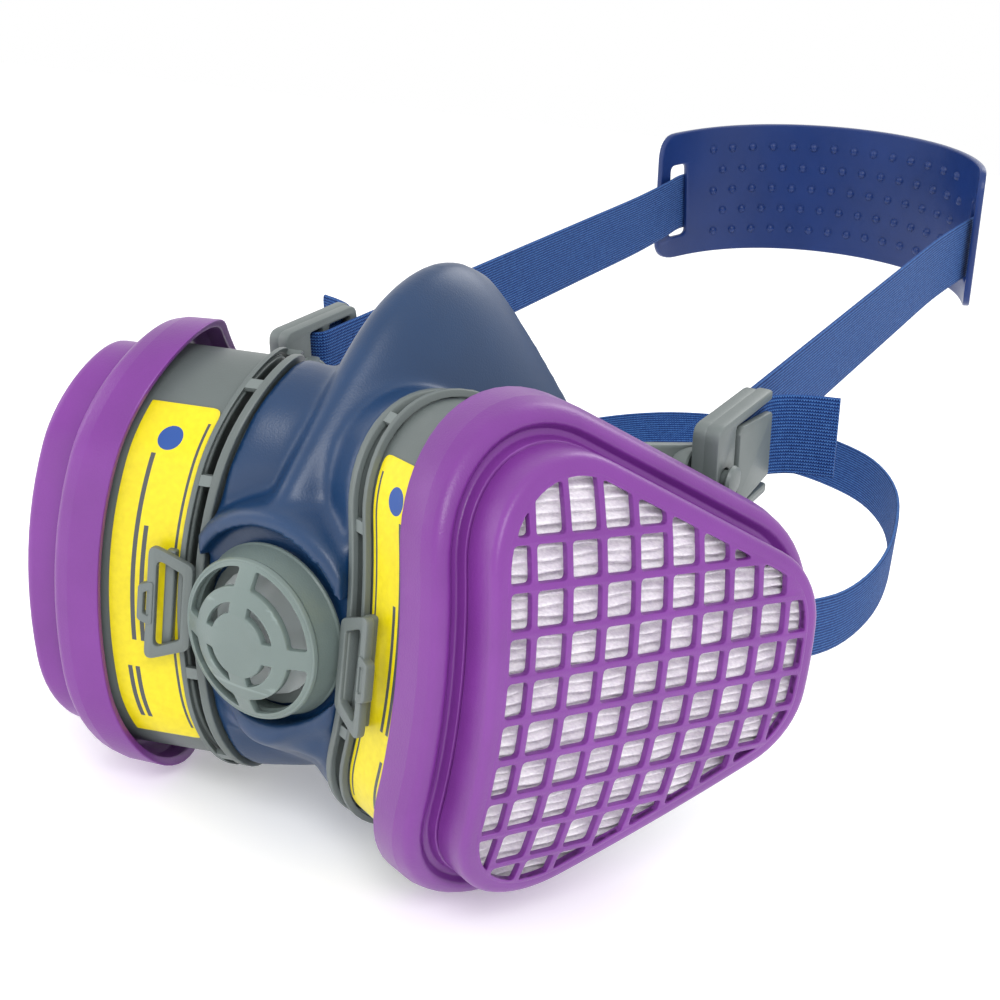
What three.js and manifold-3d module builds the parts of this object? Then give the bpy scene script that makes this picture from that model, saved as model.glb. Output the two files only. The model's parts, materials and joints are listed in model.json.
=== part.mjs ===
// Half-mask respirator with two clip-on gas and particle cartridges and a four-point harness.
// Millimetres, +Z up. The wearer looks along -Y, the wearer's left is +X, and the origin is the
// middle of the face seal.
import * as THREE from 'three';
import { mergeVertices } from 'three/addons/utils/BufferGeometryUtils.js';
import Module from 'manifold-3d';

const wasm = await Module();
wasm.setup();
const degrees = THREE.MathUtils.degToRad;
const part = new THREE.Group();

// ---------------------------------------------------------------- driving dimensions
const GAP = 0.3; // between touching pieces
const SWEEP = degrees(23.4); // how far each cartridge faces forward of straight sideways
const CARTRIDGE_CENTRE = new THREE.Vector3(75.3, -43.2, -9.8); // middle of the outer face
const BEND_RADIUS = 111; // the cartridge curves around the cheek about its fore-aft axis
// Outlines with two rounded front corners and two rounded rear ones, mirrored about mid height.
const CAP_OUTLINE = {
  front: { along: -17.3, up: 24.4, radius: 20.4 },
  rear: { along: 27.5, up: 7.5, radius: 17.3 },
};
const BODY_OUTLINE = {
  front: { along: -19.5, up: 25, radius: 21.5 },
  rear: { along: 20.5, up: 7, radius: 17 },
};
const PORT_OUTLINE = {
  front: { along: -21, up: 25, radius: 22.6 },
  rear: { along: 20.5, up: 7, radius: 17.5 },
};

// Depths are measured inward from the cartridge's outer face, at mid height.
const COVER_DEPTH = 8.6;
const FRAME_TOP = 9;
const FRAME_BOTTOM = 20;
const FRAME_WEB = 2.5;
const SHOULDER_OUTSET = 5; // of the skirt beyond the cover, at its top
const SKIRT_OUTSET = 7.5; // and at its lower edge
const FRAME_WALL = 2;
const COLLAR_INSET = 3;
const CANISTER_TOP = 14.4;
const CANISTER_FLOOR = 38.5;
const WALL = 1.6;
const PORT_PLATE_OUTER = 42.5;
const PORT_PLATE_INNER = 46.5;
const PORT_RIM = 40.6;
const PORT_TAPER = 7; // the port frame narrows towards the face by this much
const PORT_TUBE_END = 53;
const PORT_TUBE_RADIUS = 19;
const SPIGOT_RADIUS = 16;
const PAD_INSET = 8;
const GRILLE_PITCH = { along: 16, up: 16.36 }; // every second bar of the fine grille
const GRILLE_START = { along: -4.7, up: 6 }; // middle of one opening
const GRILLE_BAR = 2.4;
const GRILLE_INSET = 3.8;
const COVER_WALL = 1.8;
const PLEAT_PITCH = 4.2;

const VALVE_CENTRE = new THREE.Vector3(0, -72.4, -14.3); // middle of the cover's front face
const VALVE_TILT = degrees(5);
const COVER_FRONT_RADIUS = 16.9;
const COVER_BACK_RADIUS = 18.5;
const COVER_LENGTH = 7;
const COVER_DOME = 4; // the hub stands forward of the rim
const SEAT_RADIUS = 15.8;
const SEAT_BORE = 11.5;

const STUD = { y: 8, z: 21, radius: 2 }; // upper harness pivots, mirrored
const NECK_STUD = { y: 12, z: -28, radius: 2 };
const STRAP_WIDTH = 20;
const NECK_STRAP_WIDTH = 16.5;
const STRAP_THICKNESS = 1.3;
const SLOT_POINT = new THREE.Vector3(52, 219, 68); // middle of the cradle's slot, mirrored
const CRADLE_HEIGHT = 46;
const CRADLE_THICKNESS = 2.2;

// ---------------------------------------------------------------- materials
const finish = (color, roughness, metalness = 0) =>
  new THREE.MeshStandardMaterial({ color, roughness, metalness });
const MATERIALS = {
  silicone: finish(0x28417a, 0.45),
  grey: finish(0x6c7371, 0.5),
  paleGrey: finish(0x96a0a0, 0.45),
  purple: finish(0x8a3fae, 0.42),
  yellow: finish(0xe8d400, 0.5),
  filter: finish(0xe8e6e6, 0.9),
  carbon: finish(0x1b1b1b, 0.95),
  membrane: finish(0xcfd8d8, 0.35),
  gasket: finish(0x202020, 0.7),
  webbing: finish(0x2f5aa6, 0.85),
  cradle: finish(0x223369, 0.35),
};

// ---------------------------------------------------------------- solid helpers
function toSolid(geometry) {
  const plain = geometry.clone();
  plain.deleteAttribute('normal');
  plain.deleteAttribute('uv');
  const merged = mergeVertices(plain, 1e-4);
  return new wasm.Manifold(new wasm.Mesh({
    numProp: 3,
    vertProperties: new Float32Array(merged.attributes.position.array),
    triVerts: new Uint32Array(merged.index.array),
  }));
}

function toGeometry(solid) {
  const mesh = solid.getMesh();
  const geometry = new THREE.BufferGeometry();
  const points = [];
  for (let i = 0; i < mesh.vertProperties.length; i += mesh.numProp) {
    points.push(mesh.vertProperties[i], mesh.vertProperties[i + 1], mesh.vertProperties[i + 2]);
  }
  geometry.setAttribute('position', new THREE.Float32BufferAttribute(points, 3));
  geometry.setIndex(Array.from(mesh.triVerts));
  return geometry;
}

const join = (...solids) => solids.reduce((whole, next) => whole.add(next));
const cut = (solid, ...tools) => tools.reduce((whole, tool) => whole.subtract(tool), solid);

function place(solid, matrix) {
  const geometry = toGeometry(solid);
  geometry.applyMatrix4(matrix);
  return toSolid(geometry);
}

function mirror(solid) {
  const geometry = toGeometry(solid);
  const points = geometry.attributes.position;
  for (let i = 0; i < points.count; i++) points.setX(i, -points.getX(i));
  const index = geometry.index.array;
  for (let i = 0; i < index.length; i += 3) [index[i], index[i + 1]] = [index[i + 1], index[i]];
  return toSolid(geometry);
}

function addPiece(name, solid, material) {
  const geometry = toGeometry(solid);
  geometry.computeVertexNormals();
  const mesh = new THREE.Mesh(geometry, MATERIALS[material]);
  mesh.name = name;
  part.add(mesh);
}

function addPair(name, solid, material) {
  addPiece(`${name}_left`, solid, material);
  addPiece(`${name}_right`, mirror(solid), material);
}

// A closed solid through a list of equal rings of points.
function loft(rings) {
  const sides = rings[0].length;
  const points = rings.flat().flatMap((p) => [p.x, p.y, p.z]);
  const index = [];
  for (let r = 0; r + 1 < rings.length; r++) {
    for (let s = 0; s < sides; s++) {
      const a = r * sides + s;
      const b = r * sides + ((s + 1) % sides);
      index.push(a, b, b + sides, a, b + sides, a + sides);
    }
  }
  const last = (rings.length - 1) * sides;
  for (let s = 1; s + 1 < sides; s++) {
    index.push(0, s + 1, s);
    index.push(last, last + s, last + s + 1);
  }
  const geometry = new THREE.BufferGeometry();
  geometry.setAttribute('position', new THREE.Float32BufferAttribute(points, 3));
  geometry.setIndex(index);
  const solid = toSolid(geometry);
  if (solid.volume() > 0) return solid;
  for (let i = 0; i < index.length; i += 3) [index[i], index[i + 1]] = [index[i + 1], index[i]];
  geometry.setIndex(index);
  return toSolid(geometry);
}

function box(x0, x1, y0, y1, z0, z1) {
  const geometry = new THREE.BoxGeometry(x1 - x0, y1 - y0, z1 - z0);
  geometry.translate((x0 + x1) / 2, (y0 + y1) / 2, (z0 + z1) / 2);
  return toSolid(geometry);
}

// A turned solid about Z from a closed profile of [radius, height] points.
function turned(profile, segments = 26) {
  const points = [...profile, profile[0]].map(([r, h]) => new THREE.Vector2(r, h));
  const upright = (list) => toSolid(new THREE.LatheGeometry(list, segments).rotateX(Math.PI / 2));
  const solid = upright(points);
  return solid.volume() > 0 ? solid : upright(points.reverse());
}

const disc = (radius, z0, z1, segments = 26) =>
  turned([[0, z0], [radius, z0], [radius, z1], [0, z1]], segments);
const ring = (inner, outer, z0, z1, segments = 26) =>
  turned([[inner, z0], [outer, z0], [outer, z1], [inner, z1]], segments);

// A straight bar of rectangular section between two points.
function bar(start, end, up, width, thickness) {
  const along = end.clone().sub(start).normalize();
  const side = along.clone().cross(up).normalize().multiplyScalar(thickness / 2);
  const rise = side.clone().normalize().cross(along).multiplyScalar(width / 2);
  const corners = (p) => [[1, 1], [-1, 1], [-1, -1], [1, -1]].map(([a, b]) =>
    p.clone().addScaledVector(side, a).addScaledVector(rise, b));
  return loft([corners(start), corners(end)]);
}

// A flat strap: each station has a middle point, a width direction and a width.
function ribbon(middles, rises, width, thickness) {
  const rings = middles.map((p, i) => {
    const before = middles[Math.max(i - 1, 0)];
    const after = middles[Math.min(i + 1, middles.length - 1)];
    const rise = rises[i].clone().normalize();
    const side = after.clone().sub(before).cross(rise).normalize();
    return [[1, 1], [-1, 1], [-1, -1], [1, -1]].map(([a, b]) =>
      p.clone().addScaledVector(side, a * thickness / 2).addScaledVector(rise, b * width / 2));
  });
  return loft(rings);
}

// ---------------------------------------------------------------- cartridge frame
// Local axes: X along the cartridge towards the rear, Y up, Z outward. Depths are negative Z.
const along = new THREE.Vector3(Math.sin(SWEEP), Math.cos(SWEEP), 0);
const outward = new THREE.Vector3(Math.cos(SWEEP), -Math.sin(SWEEP), 0);
const cartridgeMatrix = new THREE.Matrix4()
  .makeBasis(along, new THREE.Vector3(0, 0, 1), outward)
  .setPosition(CARTRIDGE_CENTRE);
const inCartridge = (solid) => place(solid, cartridgeMatrix);
const sag = (up) => BEND_RADIUS - Math.sqrt(BEND_RADIUS ** 2 - up ** 2);

// The straight edge between a front and a rear corner: where it leaves each rounded corner.
function slantedEdge({ front, rear }, inset) {
  const frontRadius = front.radius - inset;
  const rearRadius = rear.radius - inset;
  const dx = rear.along - front.along;
  const du = rear.up - front.up;
  const length = Math.hypot(dx, du);
  const lean = (frontRadius - rearRadius) / length;
  const rise = Math.sqrt(1 - lean ** 2);
  const normal = { along: (lean * dx - rise * du) / length, up: (lean * du + rise * dx) / length };
  return {
    high: { along: front.along + frontRadius * normal.along, up: front.up + frontRadius * normal.up },
    low: { along: rear.along + rearRadius * normal.along, up: rear.up + rearRadius * normal.up },
  };
}

// Front and rear limits of an outline at one height.
function outlineSpan(outline, up, inset) {
  const height = Math.abs(up);
  const { front, rear } = outline;
  const { high, low } = slantedEdge(outline, inset);
  const reach = (corner) => {
    const beyond = Math.max(height - corner.up, 0);
    return Math.sqrt(Math.max((corner.radius - inset) ** 2 - beyond ** 2, 0));
  };
  const start = front.along - reach(front);
  if (height >= high.up) return [start, front.along + reach(front)];
  if (height <= low.up) return [start, rear.along + reach(rear)];
  const share = (height - low.up) / (high.up - low.up);
  return [start, low.along + share * (high.along - low.along)];
}

// Heights of the rows that a bent slab is built from.
function outlineRows({ front, rear }, inset) {
  const upper = [12, 32, 50, 68].map((angle) => front.up + (front.radius - inset) * Math.cos(degrees(angle)));
  const lower = [58, 38, 18].map((angle) => rear.up + (rear.radius - inset) * Math.sin(degrees(angle)));
  const half = [...upper, front.up, ...lower, rear.up].sort((a, b) => b - a);
  return [...half, 0, ...half.map((up) => -up).reverse()];
}

// A bent solid whose edge follows a profile of [inset, depth] steps, from the inner face outward.
function profiled(outline, profile) {
  const levels = profile.map(([inset, depth]) => outlineRows(outline, inset).map((up) => {
    const [start, end] = outlineSpan(outline, up, inset);
    const z = -depth - sag(up);
    return { start: new THREE.Vector3(start, up, z), end: new THREE.Vector3(end, up, z) };
  }));
  return loft(levels[0].map((row, i) => [
    ...levels.map((level) => level[i].end),
    ...levels.map((level) => level[i].start).reverse(),
  ]));
}

const slab = (outline, inset, innerDepth, outerDepth) =>
  profiled(outline, [[inset, innerDepth], [inset, outerDepth]]);

// ---------------------------------------------------------------- cartridges
function filterCover() {
  const holes = [];
  for (let column = -6; column <= 6; column++) {
    for (let row = -6; row <= 6; row++) {
      const x = GRILLE_START.along + column * GRILLE_PITCH.along;
      const y = GRILLE_START.up + row * GRILLE_PITCH.up;
      const halfX = (GRILLE_PITCH.along - GRILLE_BAR) / 2;
      const halfY = (GRILLE_PITCH.up - GRILLE_BAR) / 2;
      if (Math.hypot(x, y) > 56) continue;
      holes.push(box(x - halfX, x + halfX, y - halfY, y + halfY, -22, 3));
    }
  }
  const window = slab(CAP_OUTLINE, GRILLE_INSET, COVER_DEPTH + 4, -3);
  const cells = wasm.Manifold.union(holes).intersect(window);
  const hollow = slab(CAP_OUTLINE, COVER_WALL, COVER_DEPTH + 1, 2.2);
  const body = profiled(CAP_OUTLINE, [[0, COVER_DEPTH], [0, 0.8], [0.8, 0]]);
  return cut(body, hollow, cells);
}

function filterFrame() {
  const body = profiled(CAP_OUTLINE, [
    [-SKIRT_OUTSET, FRAME_BOTTOM], [-SKIRT_OUTSET + 0.4, 14], [-SHOULDER_OUTSET - 0.6, 10], [-SHOULDER_OUTSET + 1.5, FRAME_TOP],
  ]);
  const under = profiled(CAP_OUTLINE, [
    [-SKIRT_OUTSET + FRAME_WALL, FRAME_BOTTOM + 1], [-SKIRT_OUTSET + FRAME_WALL, 14],
    [-SHOULDER_OUTSET + FRAME_WALL, FRAME_TOP + FRAME_WEB],
  ]);
  const opening = slab(CAP_OUTLINE, 5, FRAME_BOTTOM + 2, FRAME_TOP - 2);
  return cut(body, under, opening);
}

function pleatedFilter() {
  const inset = COVER_WALL + 0.7;
  const { front } = CAP_OUTLINE;
  const reach = front.up + front.radius - inset - 1.5;
  const count = 2 * Math.floor((2 * reach) / PLEAT_PITCH);
  const rings = [];
  for (let i = 0; i <= count; i++) {
    const up = reach - (2 * reach * i) / count;
    const [start, end] = outlineSpan(CAP_OUTLINE, up, inset);
    const top = (i % 2 ? -3 : -6.4) - sag(up);
    const bottom = (i % 2 ? -5 : -8.4) - sag(up);
    rings.push([[start, bottom], [end, bottom], [end, top], [start, top]]
      .map(([x, z]) => new THREE.Vector3(x, up, z)));
  }
  return loft(rings);
}

function canisterShell() {
  const walls = slab(BODY_OUTLINE, 0, CANISTER_FLOOR, CANISTER_TOP);
  const collar = slab(CAP_OUTLINE, COLLAR_INSET, CANISTER_TOP + 2, FRAME_TOP + FRAME_WEB + GAP);
  const hollow = slab(BODY_OUTLINE, WALL, CANISTER_FLOOR - 2, CANISTER_TOP + 2);
  const mouth = slab(CAP_OUTLINE, COLLAR_INSET + WALL, CANISTER_TOP + 4, FRAME_TOP);
  const spigot = disc(SPIGOT_RADIUS, -PORT_PLATE_INNER, -CANISTER_FLOOR + 1.5);
  const bore = disc(SPIGOT_RADIUS - WALL, -PORT_PLATE_INNER - 1, -CANISTER_FLOOR + 4);
  const front = outlineSpan(BODY_OUTLINE, 0, 0)[0];
  const catchRidge = box(front - 2.4, front + 1, -16, 7, -36.2, -34);
  return cut(join(walls, collar, spigot, catchRidge), hollow, mouth, bore);
}

function label() {
  const outer = slab(BODY_OUTLINE, -0.7, 37, FRAME_BOTTOM + 0.8);
  const inner = slab(BODY_OUTLINE, -GAP, 40, FRAME_BOTTOM - 2);
  const frontOnly = box(-60, -29, -37, 37, -60, 0);
  const notch = box(-60, -20, -16.4, 7.4, -60, -33.6);
  return cut(outer.intersect(frontOnly), inner, notch);
}

function portFrame() {
  const plate = profiled(PORT_OUTLINE, [
    [PORT_TAPER, PORT_PLATE_INNER], [0, PORT_PLATE_OUTER - 0.4], [0, PORT_RIM],
  ]);
  const dish = profiled(PORT_OUTLINE, [
    [PORT_TAPER - 2, PORT_PLATE_OUTER + 0.4], [WALL, PORT_PLATE_OUTER - 0.6], [WALL, PORT_RIM - 1],
  ]);
  const tube = disc(PORT_TUBE_RADIUS, -PORT_TUBE_END, -PORT_PLATE_INNER + 1);
  const bore = disc(SPIGOT_RADIUS + GAP, -PORT_TUBE_END - 1, -PORT_PLATE_OUTER + 2);
  const local = inCartridge(cut(join(cut(plate, dish), tube), bore));
  return join(local, harnessLug(STUD), harnessLug(NECK_STUD));
}

// An arm from the port frame's rear edge to a round stud whose axis is X.
function harnessLug(stud) {
  const up = stud.z - CARTRIDGE_CENTRE.z;
  const depth = (PORT_PLATE_OUTER + PORT_PLATE_INNER) / 2 - 0.9 + sag(up);
  const edge = outlineSpan(PORT_OUTLINE, up, PORT_TAPER)[1] - 3;
  const root = new THREE.Vector3(edge, up, -depth).applyMatrix4(cartridgeMatrix);
  const tip = new THREE.Vector3(54.6, stud.y + 2, stud.z);
  const arm = bar(root, tip, new THREE.Vector3(0, 0, 1), 12, 3);
  const turn = new THREE.Matrix4().makeRotationY(Math.PI / 2)
    .setPosition(0, stud.y, stud.z);
  const pin = disc(stud.radius, 52, 65.2, 20);
  const head = disc(3.4, 64.6, 66, 20);
  const base = disc(5.5, 52, 56, 20);
  return join(arm, place(join(pin, head, base), turn));
}

function portGasket() {
  const sleeve = ring(SPIGOT_RADIUS + 0.8, SPIGOT_RADIUS + 3.2, -60, -30, 28);
  return sleeve.intersect(slab(BODY_OUTLINE, 2, PORT_PLATE_OUTER - GAP, CANISTER_FLOOR + GAP));
}

function inhalationSeat() {
  const outer = ring(13.5, SPIGOT_RADIUS - 0.1, -PORT_TUBE_END + 0.2, -PORT_TUBE_END + 2.2, 28);
  const cross = join(
    box(-14, 14, -1, 1, -PORT_TUBE_END + 0.4, -PORT_TUBE_END + 2),
    box(-1, 1, -14, 14, -PORT_TUBE_END + 0.4, -PORT_TUBE_END + 2),
  );
  return join(outer, cross, disc(2.6, -PORT_TUBE_END + 0.2, -PORT_TUBE_END + 2.2, 16));
}

function inhalationFlap() {
  return disc(14.6, -PORT_TUBE_END - 0.8, -PORT_TUBE_END - 0.1, 28);
}

function latchClip() {
  const front = outlineSpan(BODY_OUTLINE, 0, 0)[0];
  const outerFace = front - 4.4;
  const bars = [
    box(outerFace, front - 0.8, -19, 10, -PORT_PLATE_OUTER + 2.2, -PORT_RIM + 1.6),
    box(outerFace, outerFace + 1.5, -19, -16.5, -PORT_PLATE_OUTER + 2.2, -31),
    box(outerFace, outerFace + 1.5, 7.5, 10, -PORT_PLATE_OUTER + 2.2, -31),
    box(outerFace, outerFace + 1.7, -19, 10, -33.2, -31),
  ];
  return join(...bars);
}

// ---------------------------------------------------------------- facepiece
// Rings from the front of the facepiece to the sealing edge that rests on the face.
const FACE_RINGS = [
  { halfWidth: 17, middle: -14, top: 9, bottom: -38, sideY: -64.5, topY: -70, bottomY: -69, pinch: 0.6 },
  { halfWidth: 20, middle: -13, top: 23, bottom: -44, sideY: -55, topY: -60, bottomY: -58, pinch: 0.55 },
  { halfWidth: 26, middle: -12, top: 38, bottom: -50, sideY: -40, topY: -48, bottomY: -47, pinch: 0.5 },
  { halfWidth: 32.5, middle: -10, top: 51, bottom: -54, sideY: -24, topY: -36, bottomY: -36, pinch: 0.5 },
  { halfWidth: 39, middle: -10, top: 58, bottom: -56, sideY: -8, topY: -24, bottomY: -25, pinch: 0.54 },
  { halfWidth: 44.5, middle: -10, top: 60, bottom: -56.5, sideY: 5, topY: -12, bottomY: -14, pinch: 0.62 },
  { halfWidth: 49, middle: -10, top: 57, bottom: -56, sideY: 17, topY: 0, bottomY: -4, pinch: 0.7 },
];
const RING_SIDES = 30;

function faceRing(shape, inset = 0, push = 0) {
  const points = [];
  for (let i = 0; i < RING_SIDES; i++) {
    const angle = (2 * Math.PI * i) / RING_SIDES;
    const s = Math.sin(angle);
    const vertical = s > 0 ? shape.top - inset - shape.middle : shape.middle - shape.bottom - inset;
    const pinch = s > 0 ? 1 - shape.pinch * s ** 0.8 : 1 - 0.12 * -s;
    const edgeY = s > 0 ? shape.topY : shape.bottomY;
    points.push(new THREE.Vector3(
      (shape.halfWidth - inset) * Math.cos(angle) * pinch,
      shape.sideY + (edgeY - shape.sideY) * s ** 2 + push,
      shape.middle + vertical * s,
    ));
  }
  return points;
}

const valveMatrix = new THREE.Matrix4()
  .makeRotationX(Math.PI / 2 + VALVE_TILT)
  .setPosition(VALVE_CENTRE);
const inValve = (solid) => place(solid, valveMatrix);

function facepiece() {
  const wall = 2.4;
  const padGap = 0.7;
  const body = loft(FACE_RINGS.map((shape) => faceRing(shape)));
  const padTop = PORT_PLATE_INNER + padGap;
  const pad = inCartridge(slab(PORT_OUTLINE, PAD_INSET, 60, padTop));
  const clearance = inCartridge(profiled(PORT_OUTLINE, [[PORT_TAPER - 1, padTop], [-1.5, 42], [-6, 20]]));
  const deepClearance = inCartridge(profiled(PORT_OUTLINE, [
    [PORT_TAPER - 3, padTop + wall], [-4, 43.5], [-8.5, 15],
  ]));
  const portHole = inCartridge(disc(PORT_TUBE_RADIUS + GAP, -59, -40));
  const whole = cut(join(body, pad, mirror(pad)), clearance, mirror(clearance));
  const last = FACE_RINGS[FACE_RINGS.length - 1];
  const inner = [
    { ...FACE_RINGS[0], halfWidth: 16, top: 1, bottom: -30, sideY: -58.2, topY: -58.2, bottomY: -58.2, pinch: 0.1 },
    ...FACE_RINGS.slice(1, -1).map((shape) => ({ ...shape, sideY: shape.sideY + 2, topY: shape.topY + 4 })),
  ].map((shape, i) => faceRing(shape, i ? wall : 0, i ? 1.5 : 0));
  const mouth = [faceRing(last, 8, 0), faceRing(last, 8, 25)];
  const cavity = cut(loft([...inner, ...mouth]), deepClearance, mirror(deepClearance));
  const recess = inValve(disc(COVER_BACK_RADIUS + 0.6, -COVER_LENGTH - 0.6, 12, 32));
  const valveHole = inValve(disc(14, -20, 1));
  return cut(whole, cavity, recess, valveHole, portHole, mirror(portHole));
}

// ---------------------------------------------------------------- exhalation valve
function exhalationSeat() {
  const back = -COVER_LENGTH;
  const flange = ring(SEAT_BORE, SEAT_RADIUS, back - GAP, back + 1.1);
  const tube = ring(SEAT_BORE, 13.7, back - 3.3, back);
  const cross = join(
    box(-12, 12, -0.9, 0.9, back - 0.7, back + 0.7),
    box(-0.9, 0.9, -12, 12, back - 0.7, back + 0.7),
  );
  return join(flange, tube, cross, disc(2.2, back - 0.9, back + 0.7, 16));
}

const exhalationFlap = () => disc(13.4, -COVER_LENGTH + 1.4, -COVER_LENGTH + 2);

function valveCover() {
  const dome = COVER_DOME;
  const shell = turned([
    [0, dome], [6.6, dome], [12, dome * 0.62], [COVER_FRONT_RADIUS, 0], [COVER_BACK_RADIUS, -COVER_LENGTH],
    [COVER_BACK_RADIUS - 1.7, -COVER_LENGTH], [COVER_FRONT_RADIUS - 1.7, -1.8], [12, dome * 0.62 - 1.8],
    [6.6, dome - 1.8], [0, dome - 1.8],
  ], 32);
  const outer = ring(11.9, 15.6, -3, 6, 32);
  const inner = ring(6.8, 9, -3, 6);
  const spokes = join(box(-20, 20, -2, 2, -4, 7), box(-2, 2, -20, 20, -4, 7));
  return cut(shell, cut(outer, spokes), cut(inner, spokes));
}

// ---------------------------------------------------------------- harness
const buckleX = { inner: 57, outer: 60, front: 63.6 };
const HARNESS_RISE = Math.atan2(SLOT_POINT.z - STUD.z, SLOT_POINT.y - STUD.y);
// The upper strap and its buckle are laid out level and then tilted about the stud.
const tilt = new THREE.Matrix4().makeTranslation(0, STUD.y, STUD.z)
  .multiply(new THREE.Matrix4().makeRotationX(HARNESS_RISE))
  .multiply(new THREE.Matrix4().makeTranslation(0, -STUD.y, -STUD.z));

function buckleFrame() {
  const { y, z } = STUD;
  const half = 13;
  const block = box(buckleX.inner, buckleX.front, y - 4.5, y + 4.8, z - half, z + half);
  const rails = [1, -1].map((side) => box(
    buckleX.inner, buckleX.outer, y + 4, y + 24.5,
    z + side * (half - 1.2) - 1.2, z + side * (half - 1.2) + 1.2,
  ));
  const middleBar = box(buckleX.inner, buckleX.outer, y + 10, y + 12.6, z - half, z + half);
  const rearBar = box(buckleX.inner, buckleX.outer - 0.2, y + 21.4, y + 24.5, z - half, z + half);
  const turn = new THREE.Matrix4().makeRotationY(Math.PI / 2).setPosition(0, y, z);
  const eye = place(disc(STUD.radius + GAP, 50, 70, 20), turn);
  const headRoom = place(disc(3.9, 63.2, 70, 20), turn);
  return place(cut(join(block, ...rails, middleBar, rearBar), eye, headRoom), tilt);
}

function buckleLever() {
  const { y, z } = STUD;
  return place(box(62.2, 64, y + 5.4, y + 23.4, z - 11, z + 11), tilt);
}

function upperStrap() {
  const { y, z } = STUD;
  const length = Math.hypot(SLOT_POINT.y - y, SLOT_POINT.z - z);
  const start = new THREE.Vector3(55.9, y + 22, z);
  const end = new THREE.Vector3(SLOT_POINT.x, y + length, z);
  const turnedFold = [
    [76, y + 34], [70, y + 32.5], [64.5, y + 30], [61, y + 25.6], [61, y + 16], [61, y + 9.8], [59.9, y + 8],
    [58.4, y + 7.4], [56.8, y + 8], [55.9, y + 9.8], [55.9, y + 16],
  ].map(([px, py]) => new THREE.Vector3(px, py, z));
  const run = [0.02, 0.35, 0.7, 0.985].map((t) => start.clone().lerp(end, t));
  const back = [[-0.1, 4.8], [-2.8, 10.8], [-10, 17.4]]
    .map(([dx, dy]) => end.clone().add(new THREE.Vector3(dx, dy, 0)));
  const middles = [...turnedFold, ...run, ...back].map((point) => point.applyMatrix4(tilt));
  const rise = new THREE.Vector3(0, -Math.sin(HARNESS_RISE), Math.cos(HARNESS_RISE));
  return ribbon(middles, middles.map(() => rise), STRAP_WIDTH, STRAP_THICKNESS);
}

// The cradle's middle line, from one end (share -1) to the other (share 1).
function cradlePoint(share) {
  const bow = 1 - share ** 2;
  const x = 57.5 * Math.sin(share * 1.25) / Math.sin(1.25);
  return new THREE.Vector3(x, 205 + 36 * bow ** 0.85, SLOT_POINT.z + 10 * bow);
}

function cradle() {
  const count = 20;
  const middles = [];
  const rises = [];
  for (let i = 0; i <= count; i++) {
    const share = -1 + (2 * i) / count;
    middles.push(cradlePoint(share));
    rises.push(new THREE.Vector3(0, -Math.sin(HARNESS_RISE), Math.cos(HARNESS_RISE)));
  }
  const band = ribbon(middles, rises, CRADLE_HEIGHT, CRADLE_THICKNESS);
  const slot = box(49.4, 53.6, 200, 240, SLOT_POINT.z - 12.5, SLOT_POINT.z + 12.5);
  return cut(band, slot, mirror(slot));
}

function neckBuckle() {
  const { y, z } = NECK_STUD;
  const block = box(57, 61, y - 5, y + 5, z - 8, z + 8);
  const rails = [1, -1].map((side) => box(57, 60, y + 4, y + 19, z + side * 10.3 - 1.2, z + side * 10.3 + 1.2));
  const cross = box(57, 60, y + 3.5, y + 7, z - 11.5, z + 11.5);
  const rear = box(57, 60, y + 16, y + 19, z - 11.5, z + 11.5);
  const turn = new THREE.Matrix4().makeRotationY(Math.PI / 2).setPosition(0, y, z);
  const eye = place(disc(NECK_STUD.radius + GAP, 50, 70, 20), turn);
  return cut(join(block, cross, rear, ...rails), eye);
}

function neckStrap() {
  const { y, z } = NECK_STUD;
  const half = [
    [61.2, y + 26, z], [61.2, y + 19, z], [61.0, y + 14.4, z], [59.4, y + 12.6, z], [57, y + 12.4, z],
    [55.6, y + 14, z], [55.4, y + 19, z], [57, y + 30, z - 0.5], [64, y + 55, z - 2], [69, 93, z - 3],
    [70, 118, z + 0], [66, 143, z + 5], [56, 172, z + 10], [40, 195, z + 13], [20, 207, z + 14.5],
  ].map(([px, py, pz]) => new THREE.Vector3(px, py, pz));
  const other = half.map((p) => new THREE.Vector3(-p.x, p.y, p.z)).reverse();
  const middles = [...half, new THREE.Vector3(0, 210.5, z + 15), ...other];
  const rises = middles.map(() => new THREE.Vector3(0, 0, 1));
  return ribbon(middles, rises, NECK_STRAP_WIDTH, STRAP_THICKNESS);
}

// ---------------------------------------------------------------- assembly
addPiece('facepiece', facepiece(), 'silicone');
addPiece('exhalation_seat', inValve(exhalationSeat()), 'grey');
addPiece('exhalation_flap', inValve(exhalationFlap()), 'membrane');
addPiece('valve_cover', inValve(valveCover()), 'paleGrey');
addPair('port_frame', portFrame(), 'grey');
addPair('port_gasket', inCartridge(portGasket()), 'gasket');
addPair('inhalation_seat', inCartridge(inhalationSeat()), 'grey');
addPair('inhalation_flap', inCartridge(inhalationFlap()), 'membrane');
addPair('latch_clip', inCartridge(latchClip()), 'grey');
addPair('canister_shell', inCartridge(canisterShell()), 'grey');
addPair('carbon_bed', inCartridge(slab(BODY_OUTLINE, WALL + 0.4, CANISTER_FLOOR - 2.4, CANISTER_TOP + 2.4)), 'carbon');
addPair('dust_fleece', inCartridge(slab(CAP_OUTLINE, COLLAR_INSET + WALL + 0.4, CANISTER_TOP + 1.9, 12.4)), 'filter');
addPair('label', inCartridge(label()), 'yellow');
addPair('filter_frame', inCartridge(filterFrame()), 'purple');
addPair('pleated_filter', inCartridge(pleatedFilter()), 'filter');
addPair('filter_cover', inCartridge(filterCover()), 'purple');
addPair('buckle_frame', buckleFrame(), 'grey');
addPair('buckle_lever', buckleLever(), 'grey');
addPair('upper_strap', upperStrap(), 'webbing');
addPiece('head_cradle', cradle(), 'cradle');
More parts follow.
